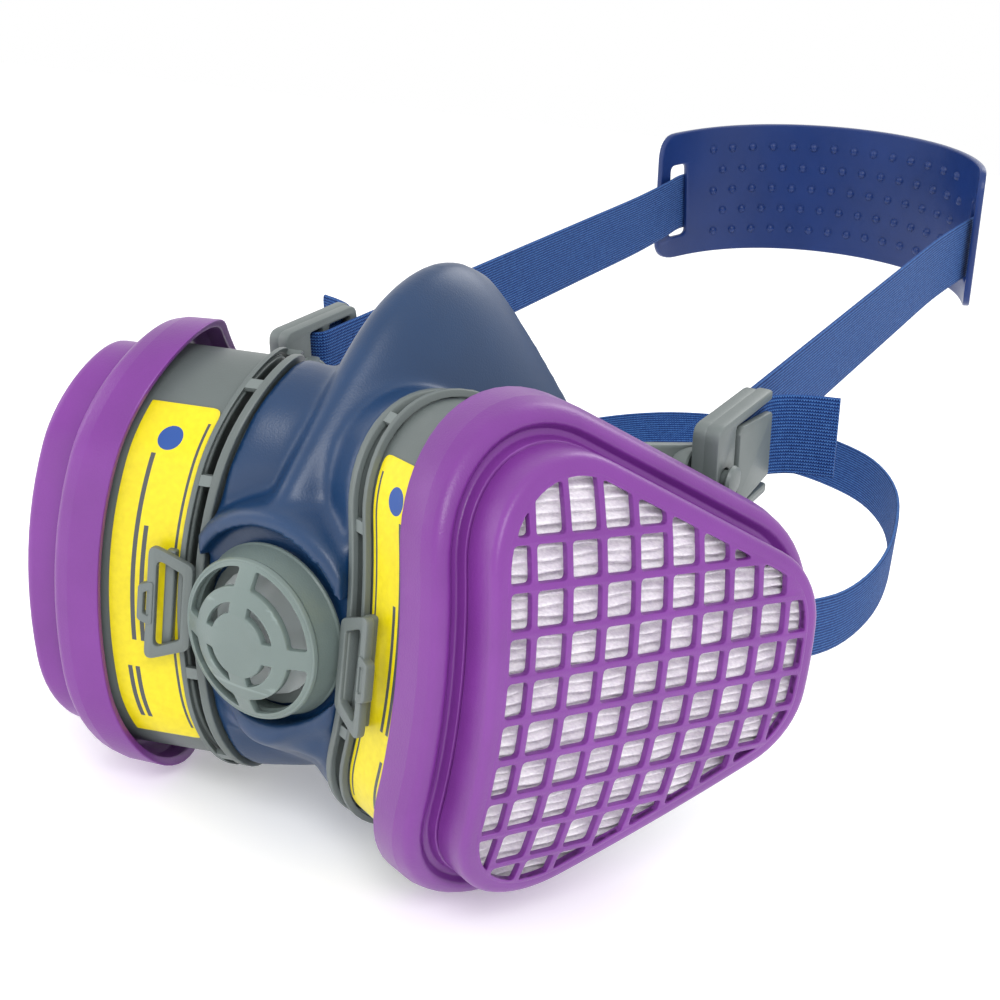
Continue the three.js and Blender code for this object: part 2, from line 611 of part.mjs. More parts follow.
addPair('neck_buckle', neckBuckle(), 'grey');
addPiece('neck_strap', neckStrap(), 'webbing');

export default part;
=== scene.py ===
# Half-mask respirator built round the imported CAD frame. Pieces are laid out in millimetres
# and turned into metres when they are finished.
import json
import math

import bmesh
import bpy
import numpy as np
from mathutils import Matrix, Vector

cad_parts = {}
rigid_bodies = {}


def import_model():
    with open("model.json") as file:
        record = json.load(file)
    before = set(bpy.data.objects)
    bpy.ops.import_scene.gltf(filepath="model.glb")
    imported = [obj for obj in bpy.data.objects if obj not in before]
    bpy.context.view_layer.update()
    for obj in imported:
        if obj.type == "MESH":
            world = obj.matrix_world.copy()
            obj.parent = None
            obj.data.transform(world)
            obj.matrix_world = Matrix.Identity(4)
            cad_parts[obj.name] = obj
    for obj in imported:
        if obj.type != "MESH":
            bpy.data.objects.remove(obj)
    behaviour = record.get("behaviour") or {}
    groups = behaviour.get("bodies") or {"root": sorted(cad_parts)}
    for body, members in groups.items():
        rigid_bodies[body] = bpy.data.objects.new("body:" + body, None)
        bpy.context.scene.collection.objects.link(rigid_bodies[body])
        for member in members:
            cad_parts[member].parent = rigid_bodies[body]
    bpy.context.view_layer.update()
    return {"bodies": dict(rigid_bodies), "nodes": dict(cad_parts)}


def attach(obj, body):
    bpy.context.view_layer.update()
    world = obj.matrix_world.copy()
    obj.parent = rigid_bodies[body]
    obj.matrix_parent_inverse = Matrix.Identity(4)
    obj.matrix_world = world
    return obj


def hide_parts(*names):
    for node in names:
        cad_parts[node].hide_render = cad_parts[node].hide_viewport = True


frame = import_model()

MM = 0.001
SIDES = (("left", 1), ("right", -1))

# ---------------------------------------------------------------- driving dimensions, as in the CAD
SWEEP = math.radians(23.4)
CARTRIDGE_CENTRE = Vector((75.3, -43.2, -9.8))
BEND_RADIUS = 111.0
CAP = dict(front=(-17.3, 24.4, 20.4), rear=(27.5, 7.5, 17.3))  # corner: along, up, radius
BODY = dict(front=(-19.5, 25.0, 21.5), rear=(20.5, 7.0, 17.0))
PORT = dict(front=(-21.0, 25.0, 22.6), rear=(20.5, 7.0, 17.5))
BAR_ALONG = 3.3  # one grille bar, and the pitch of the others
BAR_UP = 6.0
PITCH_ALONG = 8.0
PITCH_UP = 8.18
BAR_WIDTH = 1.4
VALVE_CENTRE = Vector((0.0, -72.4, -14.3))
VALVE_TILT = math.radians(5)
STUD = Vector((0.0, 8.0, 21.0))
NECK_STUD = Vector((0.0, 12.0, -28.0))
SLOT = Vector((52.0, 219.0, 68.0))
HARNESS_RISE = math.atan2(SLOT.z - STUD.z, SLOT.y - STUD.y)
STRAP_WIDTH = 20.0
NECK_STRAP_WIDTH = 16.5
STRAP_THICKNESS = 1.3

along_axis = Vector((math.sin(SWEEP), math.cos(SWEEP), 0.0))
outward_axis = Vector((math.cos(SWEEP), -math.sin(SWEEP), 0.0))
up_axis = Vector((0.0, 0.0, 1.0))
valve_matrix = Matrix.Translation(VALVE_CENTRE) @ Matrix.Rotation(math.pi / 2 + VALVE_TILT, 4, "X")
harness_tilt = (Matrix.Translation((0.0, STUD.y, STUD.z)) @ Matrix.Rotation(HARNESS_RISE, 4, "X")
                @ Matrix.Translation((0.0, -STUD.y, -STUD.z)))


def sag(up):
    return BEND_RADIUS - math.sqrt(BEND_RADIUS ** 2 - up ** 2)


def on_cartridge(along, up, depth):
    """A point of the left cartridge, bent about its fore-aft axis."""
    return CARTRIDGE_CENTRE + along_axis * along + up_axis * up - outward_axis * (depth + sag(up))


# ---------------------------------------------------------------- mesh helpers
# A shape is (points, faces) or (points, faces, uv), with one uv pair for each point.
def combine(*shapes):
    points, faces, uvs = [], [], []
    for shape in shapes:
        start = len(points)
        points += list(shape[0])
        faces += [[start + i for i in face] for face in shape[1]]
        uvs += list(shape[2]) if len(shape) > 2 else [(0.0, 0.0)] * len(shape[0])
    return points, faces, uvs


def moved(shape, change):
    return ([change(Vector(p)) for p in shape[0]],) + tuple(shape[1:])


def mirrored(shape):
    points = [(-p[0], p[1], p[2]) for p in shape[0]]
    faces = [list(reversed(face)) for face in shape[1]]
    return (points, faces) + tuple(shape[2:])


def from_rings(rings, closed_ring=True, closed_list=False, caps=True):
    """Faces between equal rings of points. caps closes the first and the last ring."""
    n = len(rings[0])
    points = [p for ring in rings for p in ring]
    faces = []
    count = len(rings)
    for r in range(count if closed_list else count - 1):
        for s in range(n if closed_ring else n - 1):
            a = r * n + s
            b = r * n + (s + 1) % n
            c = ((r + 1) % count) * n + (s + 1) % n
            d = ((r + 1) % count) * n + s
            faces.append([a, b, c, d])
    if caps and not closed_list:
        faces.append(list(reversed(range(n))))
        faces.append([(count - 1) * n + s for s in range(n)])
    return points, faces


def filleted(corners, closed=True, steps=4):
    """A polyline with its corners rounded. Each corner is (x, y) or (x, y, radius)."""
    result = []
    n = len(corners)
    for i, corner in enumerate(corners):
        here = Vector(corner[:2])
        radius = corner[2] if len(corner) > 2 else 0.0
        if not radius or (not closed and i in (0, n - 1)):
            result.append(tuple(here))
            continue
        back = Vector(corners[i - 1][:2]) - here
        ahead = Vector(corners[(i + 1) % n][:2]) - here
        half = back.angle(ahead) / 2
        reach = min(radius / max(math.tan(half), 1e-4), back.length * 0.49, ahead.length * 0.49)
        start = here + back.normalized() * reach
        end = here + ahead.normalized() * reach
        for k in range(steps + 1):
            t = k / steps
            result.append(tuple(start.lerp(here, t).lerp(here.lerp(end, t), t)))
    return result


def outline_loop(outline, inset=0.0, arc=9, straight=12):
    """Points round a cartridge outline, rear to top to front to bottom."""
    fa, fu, fr = outline["front"]
    ra, ru, rr = outline["rear"]
    fr -= inset
    rr -= inset
    dx, du = ra - fa, ru - fu
    length = math.hypot(dx, du)
    lean = (fr - rr) / length
    rise = math.sqrt(1 - lean ** 2)
    theta = math.atan2(lean * du + rise * dx, lean * dx - rise * du)
    turn = [
        (ra, ru, rr, 0.0, theta), (fa, fu, fr, theta, math.pi),
        (fa, -fu, fr, math.pi, 2 * math.pi - theta), (ra, -ru, rr, 2 * math.pi - theta, 2 * math.pi),
    ]
    counts = [arc, arc * 2, arc * 2, arc]
    gaps = [straight, straight, straight, 4]
    points = []
    for (ca, cu, r, a0, a1), n, gap, following in zip(turn, counts, gaps, turn[1:] + turn[:1]):
        for k in range(n + 1):
            angle = a0 + (a1 - a0) * k / n
            points.append((ca + r * math.cos(angle), cu + r * math.sin(angle)))
        first = (following[0] + following[2] * math.cos(following[3]),
                 following[1] + following[2] * math.sin(following[3]))
        last = points[-1]
        for k in range(1, gap):
            t = k / gap
            points.append((last[0] + (first[0] - last[0]) * t, last[1] + (first[1] - last[1]) * t))
    return points


def span(outline, up, inset):
    """Front and rear limits of an outline at one height."""
    loop = outline_loop(outline, inset)
    crossings = []
    for (a0, u0), (a1, u1) in zip(loop, loop[1:] + loop[:1]):
        if (u0 - up) * (u1 - up) <= 0 and u0 != u1:
            crossings.append(a0 + (a1 - a0) * (up - u0) / (u1 - u0))
    return (min(crossings), max(crossings)) if crossings else None


def swept(outline, profile):
    """A closed profile of (inset, depth) points swept round an outline of the left cartridge."""
    rings = [[on_cartridge(a, u, depth) for a, u in outline_loop(outline, inset)] for inset, depth in profile]
    return from_rings(rings, closed_list=True)


def dished(outline, profile, shrink=(0.85, 0.68, 0.5, 0.3, 0.12, 0.02)):
    """A closed solid: the profile's wall and rounded ends that are filled with shrinking rings."""
    first_inset, first_depth = profile[0]
    last_inset, last_depth = profile[-1]
    first = outline_loop(outline, first_inset)
    last = outline_loop(outline, last_inset)
    rings = [[on_cartridge(a * k, u * k, first_depth) for a, u in first] for k in reversed(shrink)]
    for inset, depth in profile:
        rings.append([on_cartridge(a, u, depth) for a, u in outline_loop(outline, inset)])
    rings += [[on_cartridge(a * k, u * k, last_depth) for a, u in last] for k in shrink]
    return from_rings(rings)


def capped(rings, shrink=(0.8, 0.55, 0.3, 0.1, 0.02)):
    """A closed solid through rings of points. Its ends are filled with shrinking rings."""
    ends = []
    for ring in (rings[0], rings[-1]):
        middle = sum((Vector(p) for p in ring), Vector()) / len(ring)
        ends.append([[middle.lerp(p, k) for p in ring] for k in shrink])
    return from_rings(ends[0][::-1] + rings + ends[1])


def lathe(profile, segments=64):
    """A turned solid about Z from (radius, height) points. The profile is open where it meets the axis."""
    closed = profile[0][0] > 0.0 or profile[-1][0] > 0.0
    rings = []
    for s in range(segments):
        angle = 2 * math.pi * s / segments
        rings.append([(r * math.cos(angle), r * math.sin(angle), h) for r, h in profile])
    return from_rings(rings, closed_ring=closed, closed_list=True)


def temporary(shape):
    mesh = bpy.data.meshes.new("temporary")
    mesh.from_pydata([tuple(p) for p in shape[0]], [], [list(f) for f in shape[1]])
    mesh.update()
    obj = bpy.data.objects.new("temporary", mesh)
    bpy.context.scene.collection.objects.link(obj)
    outward_faces(mesh)
    return obj


def outward_faces(mesh):
    bm = bmesh.new()
    bm.from_mesh(mesh)
    bmesh.ops.remove_doubles(bm, verts=bm.verts, dist=1e-4)
    bmesh.ops.recalc_face_normals(bm, faces=bm.faces)
    bm.to_mesh(mesh)
    bm.free()


def baked(obj):
    """The shape of an object with its modifiers applied. The object goes."""
    bpy.context.view_layer.update()
    graph = bpy.context.evaluated_depsgraph_get()
    mesh = bpy.data.meshes.new_from_object(obj.evaluated_get(graph), depsgraph=graph)
    points = [tuple(v.co) for v in mesh.vertices]
    faces = [list(p.vertices) for p in mesh.polygons]
    bpy.data.meshes.remove(mesh)
    bpy.data.objects.remove(obj)
    return points, faces


def boolean(operation, base, *tools):
    """Adds tools to a solid (UNION) or cuts them out of it (DIFFERENCE)."""
    shape = base
    for tool in tools:
        whole = temporary(shape)
        helper = temporary(tool)
        modifier = whole.modifiers.new(operation, "BOOLEAN")
        modifier.operation = operation
        modifier.solver = "MANIFOLD"
        modifier.object = helper
        shape = baked(whole)
        bpy.data.objects.remove(helper)
    return shape


def block(x0, x1, y0, y1, z0, z1, edge=0.6, segments=3):
    """A moulded block with rounded edges."""
    bm = bmesh.new()
    bmesh.ops.create_cube(bm, size=1.0)
    for v in bm.verts:
        v.co = Vector(((x0 + x1) / 2 + v.co.x * (x1 - x0), (y0 + y1) / 2 + v.co.y * (y1 - y0),
                       (z0 + z1) / 2 + v.co.z * (z1 - z0)))
    if edge:
        bmesh.ops.bevel(bm, geom=bm.edges[:], offset=edge, segments=segments, profile=0.5, affect="EDGES")
    shape = ([v.co.copy() for v in bm.verts], [[v.index for v in f.verts] for f in bm.faces])
    bm.free()
    return shape


def plate(outer, holes, low, high, edge, steps=(0.0, 0.0)):
    """A flat plate with holes and rounded edges between two heights, sliced so that it can be bent."""
    curve = bpy.data.curves.new("plate", "CURVE")
    curve.dimensions = "2D"
    curve.fill_mode = "BOTH"
    curve.extrude = (high - low) / 2 - edge
    curve.bevel_depth = edge
    curve.bevel_resolution = 1
    curve.offset = -edge
    for loop in [outer] + holes:
        spline = curve.splines.new("POLY")
        spline.points.add(len(loop) - 1)
        for point, (x, y) in zip(spline.points, loop):
            point.co = (x, y, 0.0, 1.0)
        spline.use_cyclic_u = True
    obj = bpy.data.objects.new("plate", curve)
    bpy.context.scene.collection.objects.link(obj)
    points, faces = baked(obj)
    bpy.data.curves.remove(curve)
    bm = bmesh.new()
    verts = [bm.verts.new((x, y, z + (low + high) / 2)) for x, y, z in points]
    for face in faces:
        if len(set(face)) > 2:
            try:
                bm.faces.new([verts[i] for i in face])
            except ValueError:
                pass
    bmesh.ops.remove_doubles(bm, verts=bm.verts, dist=1e-3)
    for axis, step in enumerate(steps):
        if not step:
            continue
        values = [v.co[axis] for v in bm.verts]
        position = math.ceil(min(values) / step) * step
        while position < max(values):
            place = Vector((0.0, 0.0, 0.0))
            place[axis] = position
            normal = Vector((0.0, 0.0, 0.0))
            normal[axis] = 1.0
            geometry = bm.verts[:] + bm.edges[:] + bm.faces[:]
            bmesh.ops.bisect_plane(bm, geom=geometry, dist=1e-4, plane_co=place, plane_no=normal)
            position += step
    bmesh.ops.recalc_face_normals(bm, faces=bm.faces)
    bm.verts.index_update()
    shape = ([v.co.copy() for v in bm.verts], [[v.index for v in f.verts] for f in bm.faces])
    bm.free()
    return shape


def clipped(polygon, window):
    """The part of a polygon inside a convex counter-clockwise window."""
    for (x0, y0), (x1, y1) in zip(window, window[1:] + window[:1]):
        result = []
        inside = [(x1 - x0) * (y - y0) - (y1 - y0) * (x - x0) for x, y in polygon]
        for i, here in enumerate(polygon):
            j = (i + 1) % len(polygon)
            following = polygon[j]
            if inside[i] >= 0:
                result.append(here)
            if inside[i] * inside[j] < 0:
                t = inside[i] / (inside[i] - inside[j])
                result.append((here[0] + (following[0] - here[0]) * t,
                               here[1] + (following[1] - here[1]) * t))
        polygon = result
        if len(polygon) < 3:
            return []
    return polygon


def polygon_area(polygon):
    return sum(a[0] * b[1] - b[0] * a[1] for a, b in zip(polygon, polygon[1:] + polygon[:1])) / 2


def simplified(polygon, least):
    """The polygon without corners that lie closer together than least."""
    result = [polygon[0]]
    for point in polygon[1:]:
        if math.dist(point, result[-1]) > least:
            result.append(point)
    if math.dist(result[0], result[-1]) < least:
        result.pop()
    return result


def between(p0, p1, p2, p3, t):
    """The Catmull-Rom value between p1 and p2."""
    return 0.5 * (2 * p1 + (p2 - p0) * t + (2 * p0 - 5 * p1 + 4 * p2 - p3) * t * t
                  + (3 * p1 - p0 - 3 * p2 + p3) * t ** 3)


def smooth_path(points, per_gap):
    """A Catmull-Rom curve through points, as a list of vectors."""
    points = [Vector(p) for p in points]
    ends = [points[0] * 2 - points[1]] + points + [points[-1] * 2 - points[-2]]
    result = []
    for i in range(1, len(ends) - 2):
        for k in range(per_gap):
            result.append(between(*ends[i - 1:i + 3], k / per_gap))
    result.append(points[-1])
    return result


def ribbon(path, up, width, columns=8):
    """A strap of webbing with rounded edges. Its uv runs in metres along and across."""
    half = STRAP_THICKNESS / 2
    section = [(half * 0.35, 0.5), (half * 0.85, 0.47)]
    section += [(half, 0.42 - 0.84 * k / columns) for k in range(columns + 1)]
    section += [(half * 0.85, -0.47), (half * 0.35, -0.5)]
    section += [(-t, w) for t, w in reversed(section)]
    points, uvs = [], []
    run = 0.0
    for i, p in enumerate(path):
        before = path[max(i - 1, 0)]
        after = path[min(i + 1, len(path) - 1)]
        if i:
            run += (p - before).length
        side = (after - before).cross(up).normalized()
        cross_up = side.cross(after - before).normalized()
        if cross_up.dot(up) < 0:
            cross_up.negate()
        for t, w in section:
            points.append(p + side * t + cross_up * (w * width))
            uvs.append((run * MM, w * width * MM))
    n = len(section)
    rings = [points[i:i + n] for i in range(0, len(points), n)]
    shape = from_rings(rings)
    return shape[0], shape[1], uvs


def finish_piece(name, shape, body, slot, material, nodes=(), angle=35.0):
    """Makes the object in metres and gives it its body and material. The slot argument is not used."""
    mesh = bpy.data.meshes.new(name)
    mesh.from_pydata([tuple(Vector(p) * MM) for p in shape[0]], [], [list(f) for f in shape[1]])
    if len(shape) > 2:
        layer = mesh.uv_layers.new(name="weave")
        for loop in mesh.loops:
            layer.data[loop.index].uv = shape[2][loop.vertex_index]
    mesh.update()
    bm = bmesh.new()
    bm.from_mesh(mesh)
    bmesh.ops.remove_doubles(bm, verts=bm.verts, dist=1e-7)
    bmesh.ops.recalc_face_normals(bm, faces=bm.faces)
    bm.to_mesh(mesh)
    bm.free()
    obj = bpy.data.objects.new(name, mesh)
    bpy.context.scene.collection.objects.link(obj)
    obj.data.shade_smooth()
    obj.data.set_sharp_from_angle(angle=math.radians(angle))
    obj.data.materials.append(material)
    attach(obj, body)
    if nodes:
        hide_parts(*nodes)
    return obj


def finish_pair(name, shape, body, slot, material, node=None, **details):
    """The left piece and its mirror image. body and node are given without their side."""
    for side, sign in SIDES:
        bodies = f"{body}_{side}" if f"{body}_{side}" in frame["bodies"] else body
        nodes = [f"{node}_{side}"] if node else []
        finish_piece(f"{name}_{side}", shape if sign > 0 else mirrored(shape), bodies, slot, material, nodes,
                     **details)


# ---------------------------------------------------------------- materials
def shader(name, roughness=0.5, **inputs):
    """A material with a Principled shader. Returns the material, its nodes, links and shader."""
    material = bpy.data.materials.new(name)
    material.use_nodes = True
    nodes = material.node_tree.nodes
    principled = nodes["Principled BSDF"]
    principled.inputs["Roughness"].default_value = roughness
    for key, value in inputs.items():
        principled.inputs[key.replace("_", " ")].default_value = value
    return material, nodes, material.node_tree.links, principled


def noise(nodes, links, scale, detail=3.0, vector=None):
    texture = nodes.new("ShaderNodeTexNoise")
    texture.inputs["Scale"].default_value = scale
    texture.inputs["Detail"].default_value = detail
    if vector is None:
        place = nodes.new("ShaderNodeTexCoord")
        vector = place.outputs["Object"]
    links.new(vector, texture.inputs["Vector"])
    return texture.outputs["Fac"]


def ramp(nodes, links, value, stops):
    """A colour ramp. Each stop is (position, colour)."""
    node = nodes.new("ShaderNodeValToRGB")
    elements = node.color_ramp.elements
    while len(elements) < len(stops):
        elements.new(0.5)
    for element, (position, color) in zip(elements, stops):
        element.position = position
        element.color = (*color, 1.0)
    links.new(value, node.inputs["Fac"])
    return node.outputs["Color"]


def calculate(nodes, links, operation, a, b=None):
    node = nodes.new("ShaderNodeMath")
    node.operation = operation
    for slot_index, value in enumerate((a, b)):
        if value is None:
            continue
        if isinstance(value, (int, float)):
            node.inputs[slot_index].default_value = value
        else:
            links.new(value, node.inputs[slot_index])
    return node.outputs[0]


def mixed_color(nodes, links, factor, a, b):
    """Colour a, turned into the fixed colour b by factor."""
    node = nodes.new("ShaderNodeMix")
    node.data_type = "RGBA"
    links.new(factor, node.inputs["Factor"])
    links.new(a, node.inputs["A"])
    node.inputs["B"].default_value = (*b, 1.0)
    return node.outputs["Result"]


def weave_uv(nodes, links):
    """The two coordinates of a piece's own uv layer, in metres."""
    uv = nodes.new("ShaderNodeUVMap")
    uv.uv_map = "weave"
    parts = nodes.new("ShaderNodeSeparateXYZ")
    links.new(uv.outputs["UV"], parts.inputs[0])
    return parts.outputs["X"], parts.outputs["Y"]


def bump(nodes, links, principled, height, distance, strength=1.0):
    node = nodes.new("ShaderNodeBump")
    node.inputs["Distance"].default_value = distance
    node.inputs["Strength"].default_value = strength
    links.new(height, node.inputs["Height"])
    links.new(node.outputs["Normal"], principled.inputs["Normal"])


def srgb(r, g, b):
    """Linear colour from 0 to 255 display values."""
    return tuple((v / 255 / 12.92) if v <= 10 else ((v / 255 + 0.055) / 1.055) ** 2.4 for v in (r, g, b))


def moulded(name, color, roughness, grain=0.00003, worn=0.12, **inputs):
    """Moulded plastic or rubber: slow colour drift, fine mould texture and lighter edges."""
    material, nodes, links, principled = shader(name, roughness, **inputs)
    drift = noise(nodes, links, 45.0, 4.0)
    darker = tuple(c * 0.9 for c in color)
    lighter = tuple(min(c * 1.09, 1.0) for c in color)
    base = ramp(nodes, links, drift, [(0.3, darker), (0.7, lighter)])
    geometry = nodes.new("ShaderNodeNewGeometry")
    edge = ramp(nodes, links, geometry.outputs["Pointiness"], [(0.52, (0, 0, 0)), (0.6, (1, 1, 1))])
    amount = calculate(nodes, links, "MULTIPLY", edge, worn)
    rubbed = tuple(min(c * 1.8 + 0.05, 1.0) for c in color)
    links.new(mixed_color(nodes, links, amount, base, rubbed), principled.inputs["Base Color"])
    fine = noise(nodes, links, 2600.0, 2.0)
    bump(nodes, links, principled, fine, grain)
    spread = noise(nodes, links, 160.0, 3.0)
    rough = calculate(nodes, links, "MULTIPLY_ADD", spread, 0.12)
    rough.node.inputs[2].default_value = roughness - 0.06
    links.new(rough, principled.inputs["Roughness"])
    return material


def webbing(name, color, dark, light):
    """Elastic webbing: lengthwise yarns that wander from rib to rib."""
    material, nodes, links, principled = shader(name, 0.85, Specular_IOR_Level=0.2)
    principled.inputs["Sheen Weight"].default_value = 0.04
    principled.inputs["Sheen Roughness"].default_value = 0.5
    run, side = weave_uv(nodes, links)
    rib_pitch = 0.00062
    yarn_pitch = 0.0008
    along_phase = calculate(nodes, links, "MULTIPLY", run, 2 * math.pi / rib_pitch)
    rib = calculate(nodes, links, "SINE", along_phase)
    shift = calculate(nodes, links, "MULTIPLY", rib, 1.1)
    across = calculate(nodes, links, "MULTIPLY", side, 2 * math.pi / yarn_pitch)
    yarn = calculate(nodes, links, "SINE", calculate(nodes, links, "ADD", across, shift))
    height = calculate(nodes, links, "ADD", yarn, calculate(nodes, links, "MULTIPLY", rib, 0.35))
    level = calculate(nodes, links, "MULTIPLY_ADD", height, 0.3)
    level.node.inputs[2].default_value = 0.5
    fuzz = noise(nodes, links, 900.0, 4.0)
    mixed = calculate(nodes, links, "ADD", level, calculate(nodes, links, "MULTIPLY", fuzz, 0.35))
    base = ramp(nodes, links, calculate(nodes, links, "SUBTRACT", mixed, 0.17),
                [(0.1, dark), (0.55, color), (1.0, light)])
    links.new(base, principled.inputs["Base Color"])
    bump(nodes, links, principled, mixed, 0.00022, 0.9)
    return material


def fleece(name):
    """Pleated filter paper: soft white fibres with a faint lilac tinge."""
    material, nodes, links, principled = shader(name, 0.95, Subsurface_Weight=0.15, Subsurface_Scale=0.002)
    principled.inputs["Subsurface Radius"].default_value = (1.0, 0.9, 1.0)
    fibres = noise(nodes, links, 1500.0, 6.0)
    clumps = noise(nodes, links, 260.0, 4.0)
    blend = calculate(nodes, links, "ADD", calculate(nodes, links, "MULTIPLY", fibres, 0.5),
                      calculate(nodes, links, "MULTIPLY", clumps, 0.5))
    base = ramp(nodes, links, blend, [(0.25, srgb(205, 198, 210)), (0.6, srgb(246, 243, 246))])
    links.new(base, principled.inputs["Base Color"])
    bump(nodes, links, principled, blend, 0.0004, 0.8)
    return material


LABEL_DOT = (0.0305, 0.0285, 0.0026)  # height, depth, radius in metres
LABEL_BARS = (  # middle and half length in height, middle and half width in depth
    (0.006, 0.021, 0.0262, 0.0005), (-0.002, 0.013, 0.0282, 0.0005), (-0.027, 0.006, 0.0245, 0.0005),
    (-0.027, 0.006, 0.0262, 0.0005), (0.0, 0.0345, 0.0352, 0.0003),
)


def paper_label(name):
    """Yellow sticker with a plain blue dot and plain grey bars. Its uv is in metres: height, depth."""
    material, nodes, links, principled = shader(name, 0.38)
    principled.inputs["Coat Weight"].default_value = 0.05
    u, v = weave_uv(nodes, links)

    def inside(value, middle, half):
        distance = calculate(nodes, links, "ABSOLUTE", calculate(nodes, links, "SUBTRACT", value, middle))
        return calculate(nodes, links, "LESS_THAN", distance, half)

    def bar(u_middle, u_half, v_middle, v_half):
        return calculate(nodes, links, "MULTIPLY", inside(u, u_middle, u_half), inside(v, v_middle, v_half))

    speckle = noise(nodes, links, 700.0, 3.0)
    yellow = ramp(nodes, links, speckle, [(0.2, srgb(222, 203, 0)), (0.8, srgb(236, 218, 6))])
    marks = None
    for values in LABEL_BARS:
        piece = bar(*values)
        marks = piece if marks is None else calculate(nodes, links, "MAXIMUM", marks, piece)
    du = calculate(nodes, links, "SUBTRACT", u, LABEL_DOT[0])
    dv = calculate(nodes, links, "SUBTRACT", v, LABEL_DOT[1])
    du_squared = calculate(nodes, links, "MULTIPLY", du, du)
    dv_squared = calculate(nodes, links, "MULTIPLY", dv, dv)
    radius = calculate(nodes, links, "SQRT", calculate(nodes, links, "ADD", du_squared, dv_squared))
    dot = calculate(nodes, links, "LESS_THAN", radius, LABEL_DOT[2])
    barred = mixed_color(nodes, links, marks, yellow, srgb(70, 75, 80))
    links.new(mixed_color(nodes, links, dot, barred, srgb(30, 75, 150)), principled.inputs["Base Color"])
    bump(nodes, links, principled, speckle, 0.00003)
    return material


PURPLE = moulded("purple_plastic", srgb(116, 50, 138), 0.34, grain=0.00005, worn=0.25,
                 Specular_IOR_Level=0.45)
SILICONE = moulded("blue_silicone", srgb(13, 51, 90), 0.38, grain=0.00005, worn=0.05, Specular_IOR_Level=0.5,
                   Coat_Weight=0.1, Coat_Roughness=0.3)
GREY = moulded("grey_plastic", srgb(97, 105, 104), 0.42, grain=0.00004, worn=0.35)
VALVE = moulded("pale_grey_plastic", srgb(107, 121, 118), 0.38, grain=0.00004, worn=0.3)
CRADLE = moulded("navy_plastic", srgb(20, 46, 102), 0.34, grain=0.00005, worn=0.2, Specular_IOR_Level=0.35)
CARBON = moulded("carbon_granules", srgb(26, 26, 27), 0.8, grain=0.0012, worn=0.2)
RUBBER = moulded("black_rubber", srgb(30, 30, 32), 0.6, grain=0.0001, worn=0.1)
MEMBRANE = moulded("valve_membrane", srgb(222, 230, 230), 0.16, grain=0.00002, worn=0.0,
                   Transmission_Weight=0.35, IOR=1.41)
WEB = webbing("blue_webbing", srgb(22, 62, 128), srgb(6, 24, 70), srgb(84, 132, 192))
FLEECE = fleece("filter_fleece")
LABEL = paper_label("yellow_label")

# ---------------------------------------------------------------- filter cover, frame and pleats
GRILLE_INSET = 3.9
LEAST_CELL = 2.4  # a cell cut lower than this joins the one beside it


def grille():
    """The flat lattice of the cover, bent like the cartridge."""
    window = outline_loop(CAP, GRILLE_INSET)
    cells = []

    def open_cell(a0, a1, u0, u1):
        return clipped([(a0, u0), (a1, u0), (a1, u1), (a0, u1)], window)

    def is_sliver(cell):
        return len(cell) < 3 or max(y for x, y in cell) - min(y for x, y in cell) < LEAST_CELL

    for column in range(-8, 8):
        for row in range(-8, 8):
            a0 = BAR_ALONG + column * PITCH_ALONG + BAR_WIDTH / 2
            a1 = a0 + PITCH_ALONG - BAR_WIDTH
            u0 = BAR_UP + row * PITCH_UP + BAR_WIDTH / 2
            u1 = u0 + PITCH_UP - BAR_WIDTH
            if is_sliver(open_cell(a0, a1, u0, u1)):
                continue
            if is_sliver(open_cell(a0, a1, u0 + PITCH_UP, u1 + PITCH_UP)):
                u1 += PITCH_UP
            if is_sliver(open_cell(a0, a1, u0 - PITCH_UP, u1 - PITCH_UP)):
                u0 -= PITCH_UP
            cell = open_cell(a0, a1, u0, u1)
            if polygon_area(cell) < 6.0:
                continue
            cell = simplified(cell, 0.5)
            if len(cell) >= 3:
                cells.append(filleted([(x, y, 0.9) for x, y in cell], steps=3))
    flat = plate(outline_loop(CAP, GRILLE_INSET - 0.9), cells, 0.15, 1.75, 0.22, steps=(0.0, 2.0))
    return moved(flat, lambda p: on_cartridge(p.x, p.y, p.z))


cap_rim = swept(CAP, filleted([
    (0.0, 8.6, 0.3), (0.0, 0.0, 1.9), (3.9, 0.25, 0.35), (3.9, 2.1, 0.2), (1.8, 2.1, 0.3), (1.8, 8.6, 0.2),
]))
finish_pair("filter_cover", combine(cap_rim, grille()), "cartridge", "cartridge_purple", PURPLE,
            "filter_cover")

skirt = swept(CAP, filleted([
    (-7.5, 20.0, 0.5), (-7.2, 13.0, 1.0), (-6.2, 9.6, 2.4), (-3.4, 8.7, 1.4), (-1.9, 11.2, 0.8),
    (-0.6, 11.2, 0.5), (-0.2, 9.0, 0.2), (5.0, 9.0, 0.2), (5.0, 10.6, 0.2), (0.0, 12.6, 0.4),
    (-4.4, 12.6, 1.5), (-5.5, 16.0, 0.8), (-5.6, 20.0, 0.4),
]))
finish_pair("filter_frame", skirt, "cartridge", "cartridge_purple", PURPLE, "filter_frame")


PLEAT_INSET = 1.95
PLEAT_PITCH = 2.0
PLEAT_DEPTH = 3.4
PLEAT_HEIGHT = 0.95
PLEAT_BACK = 8.3


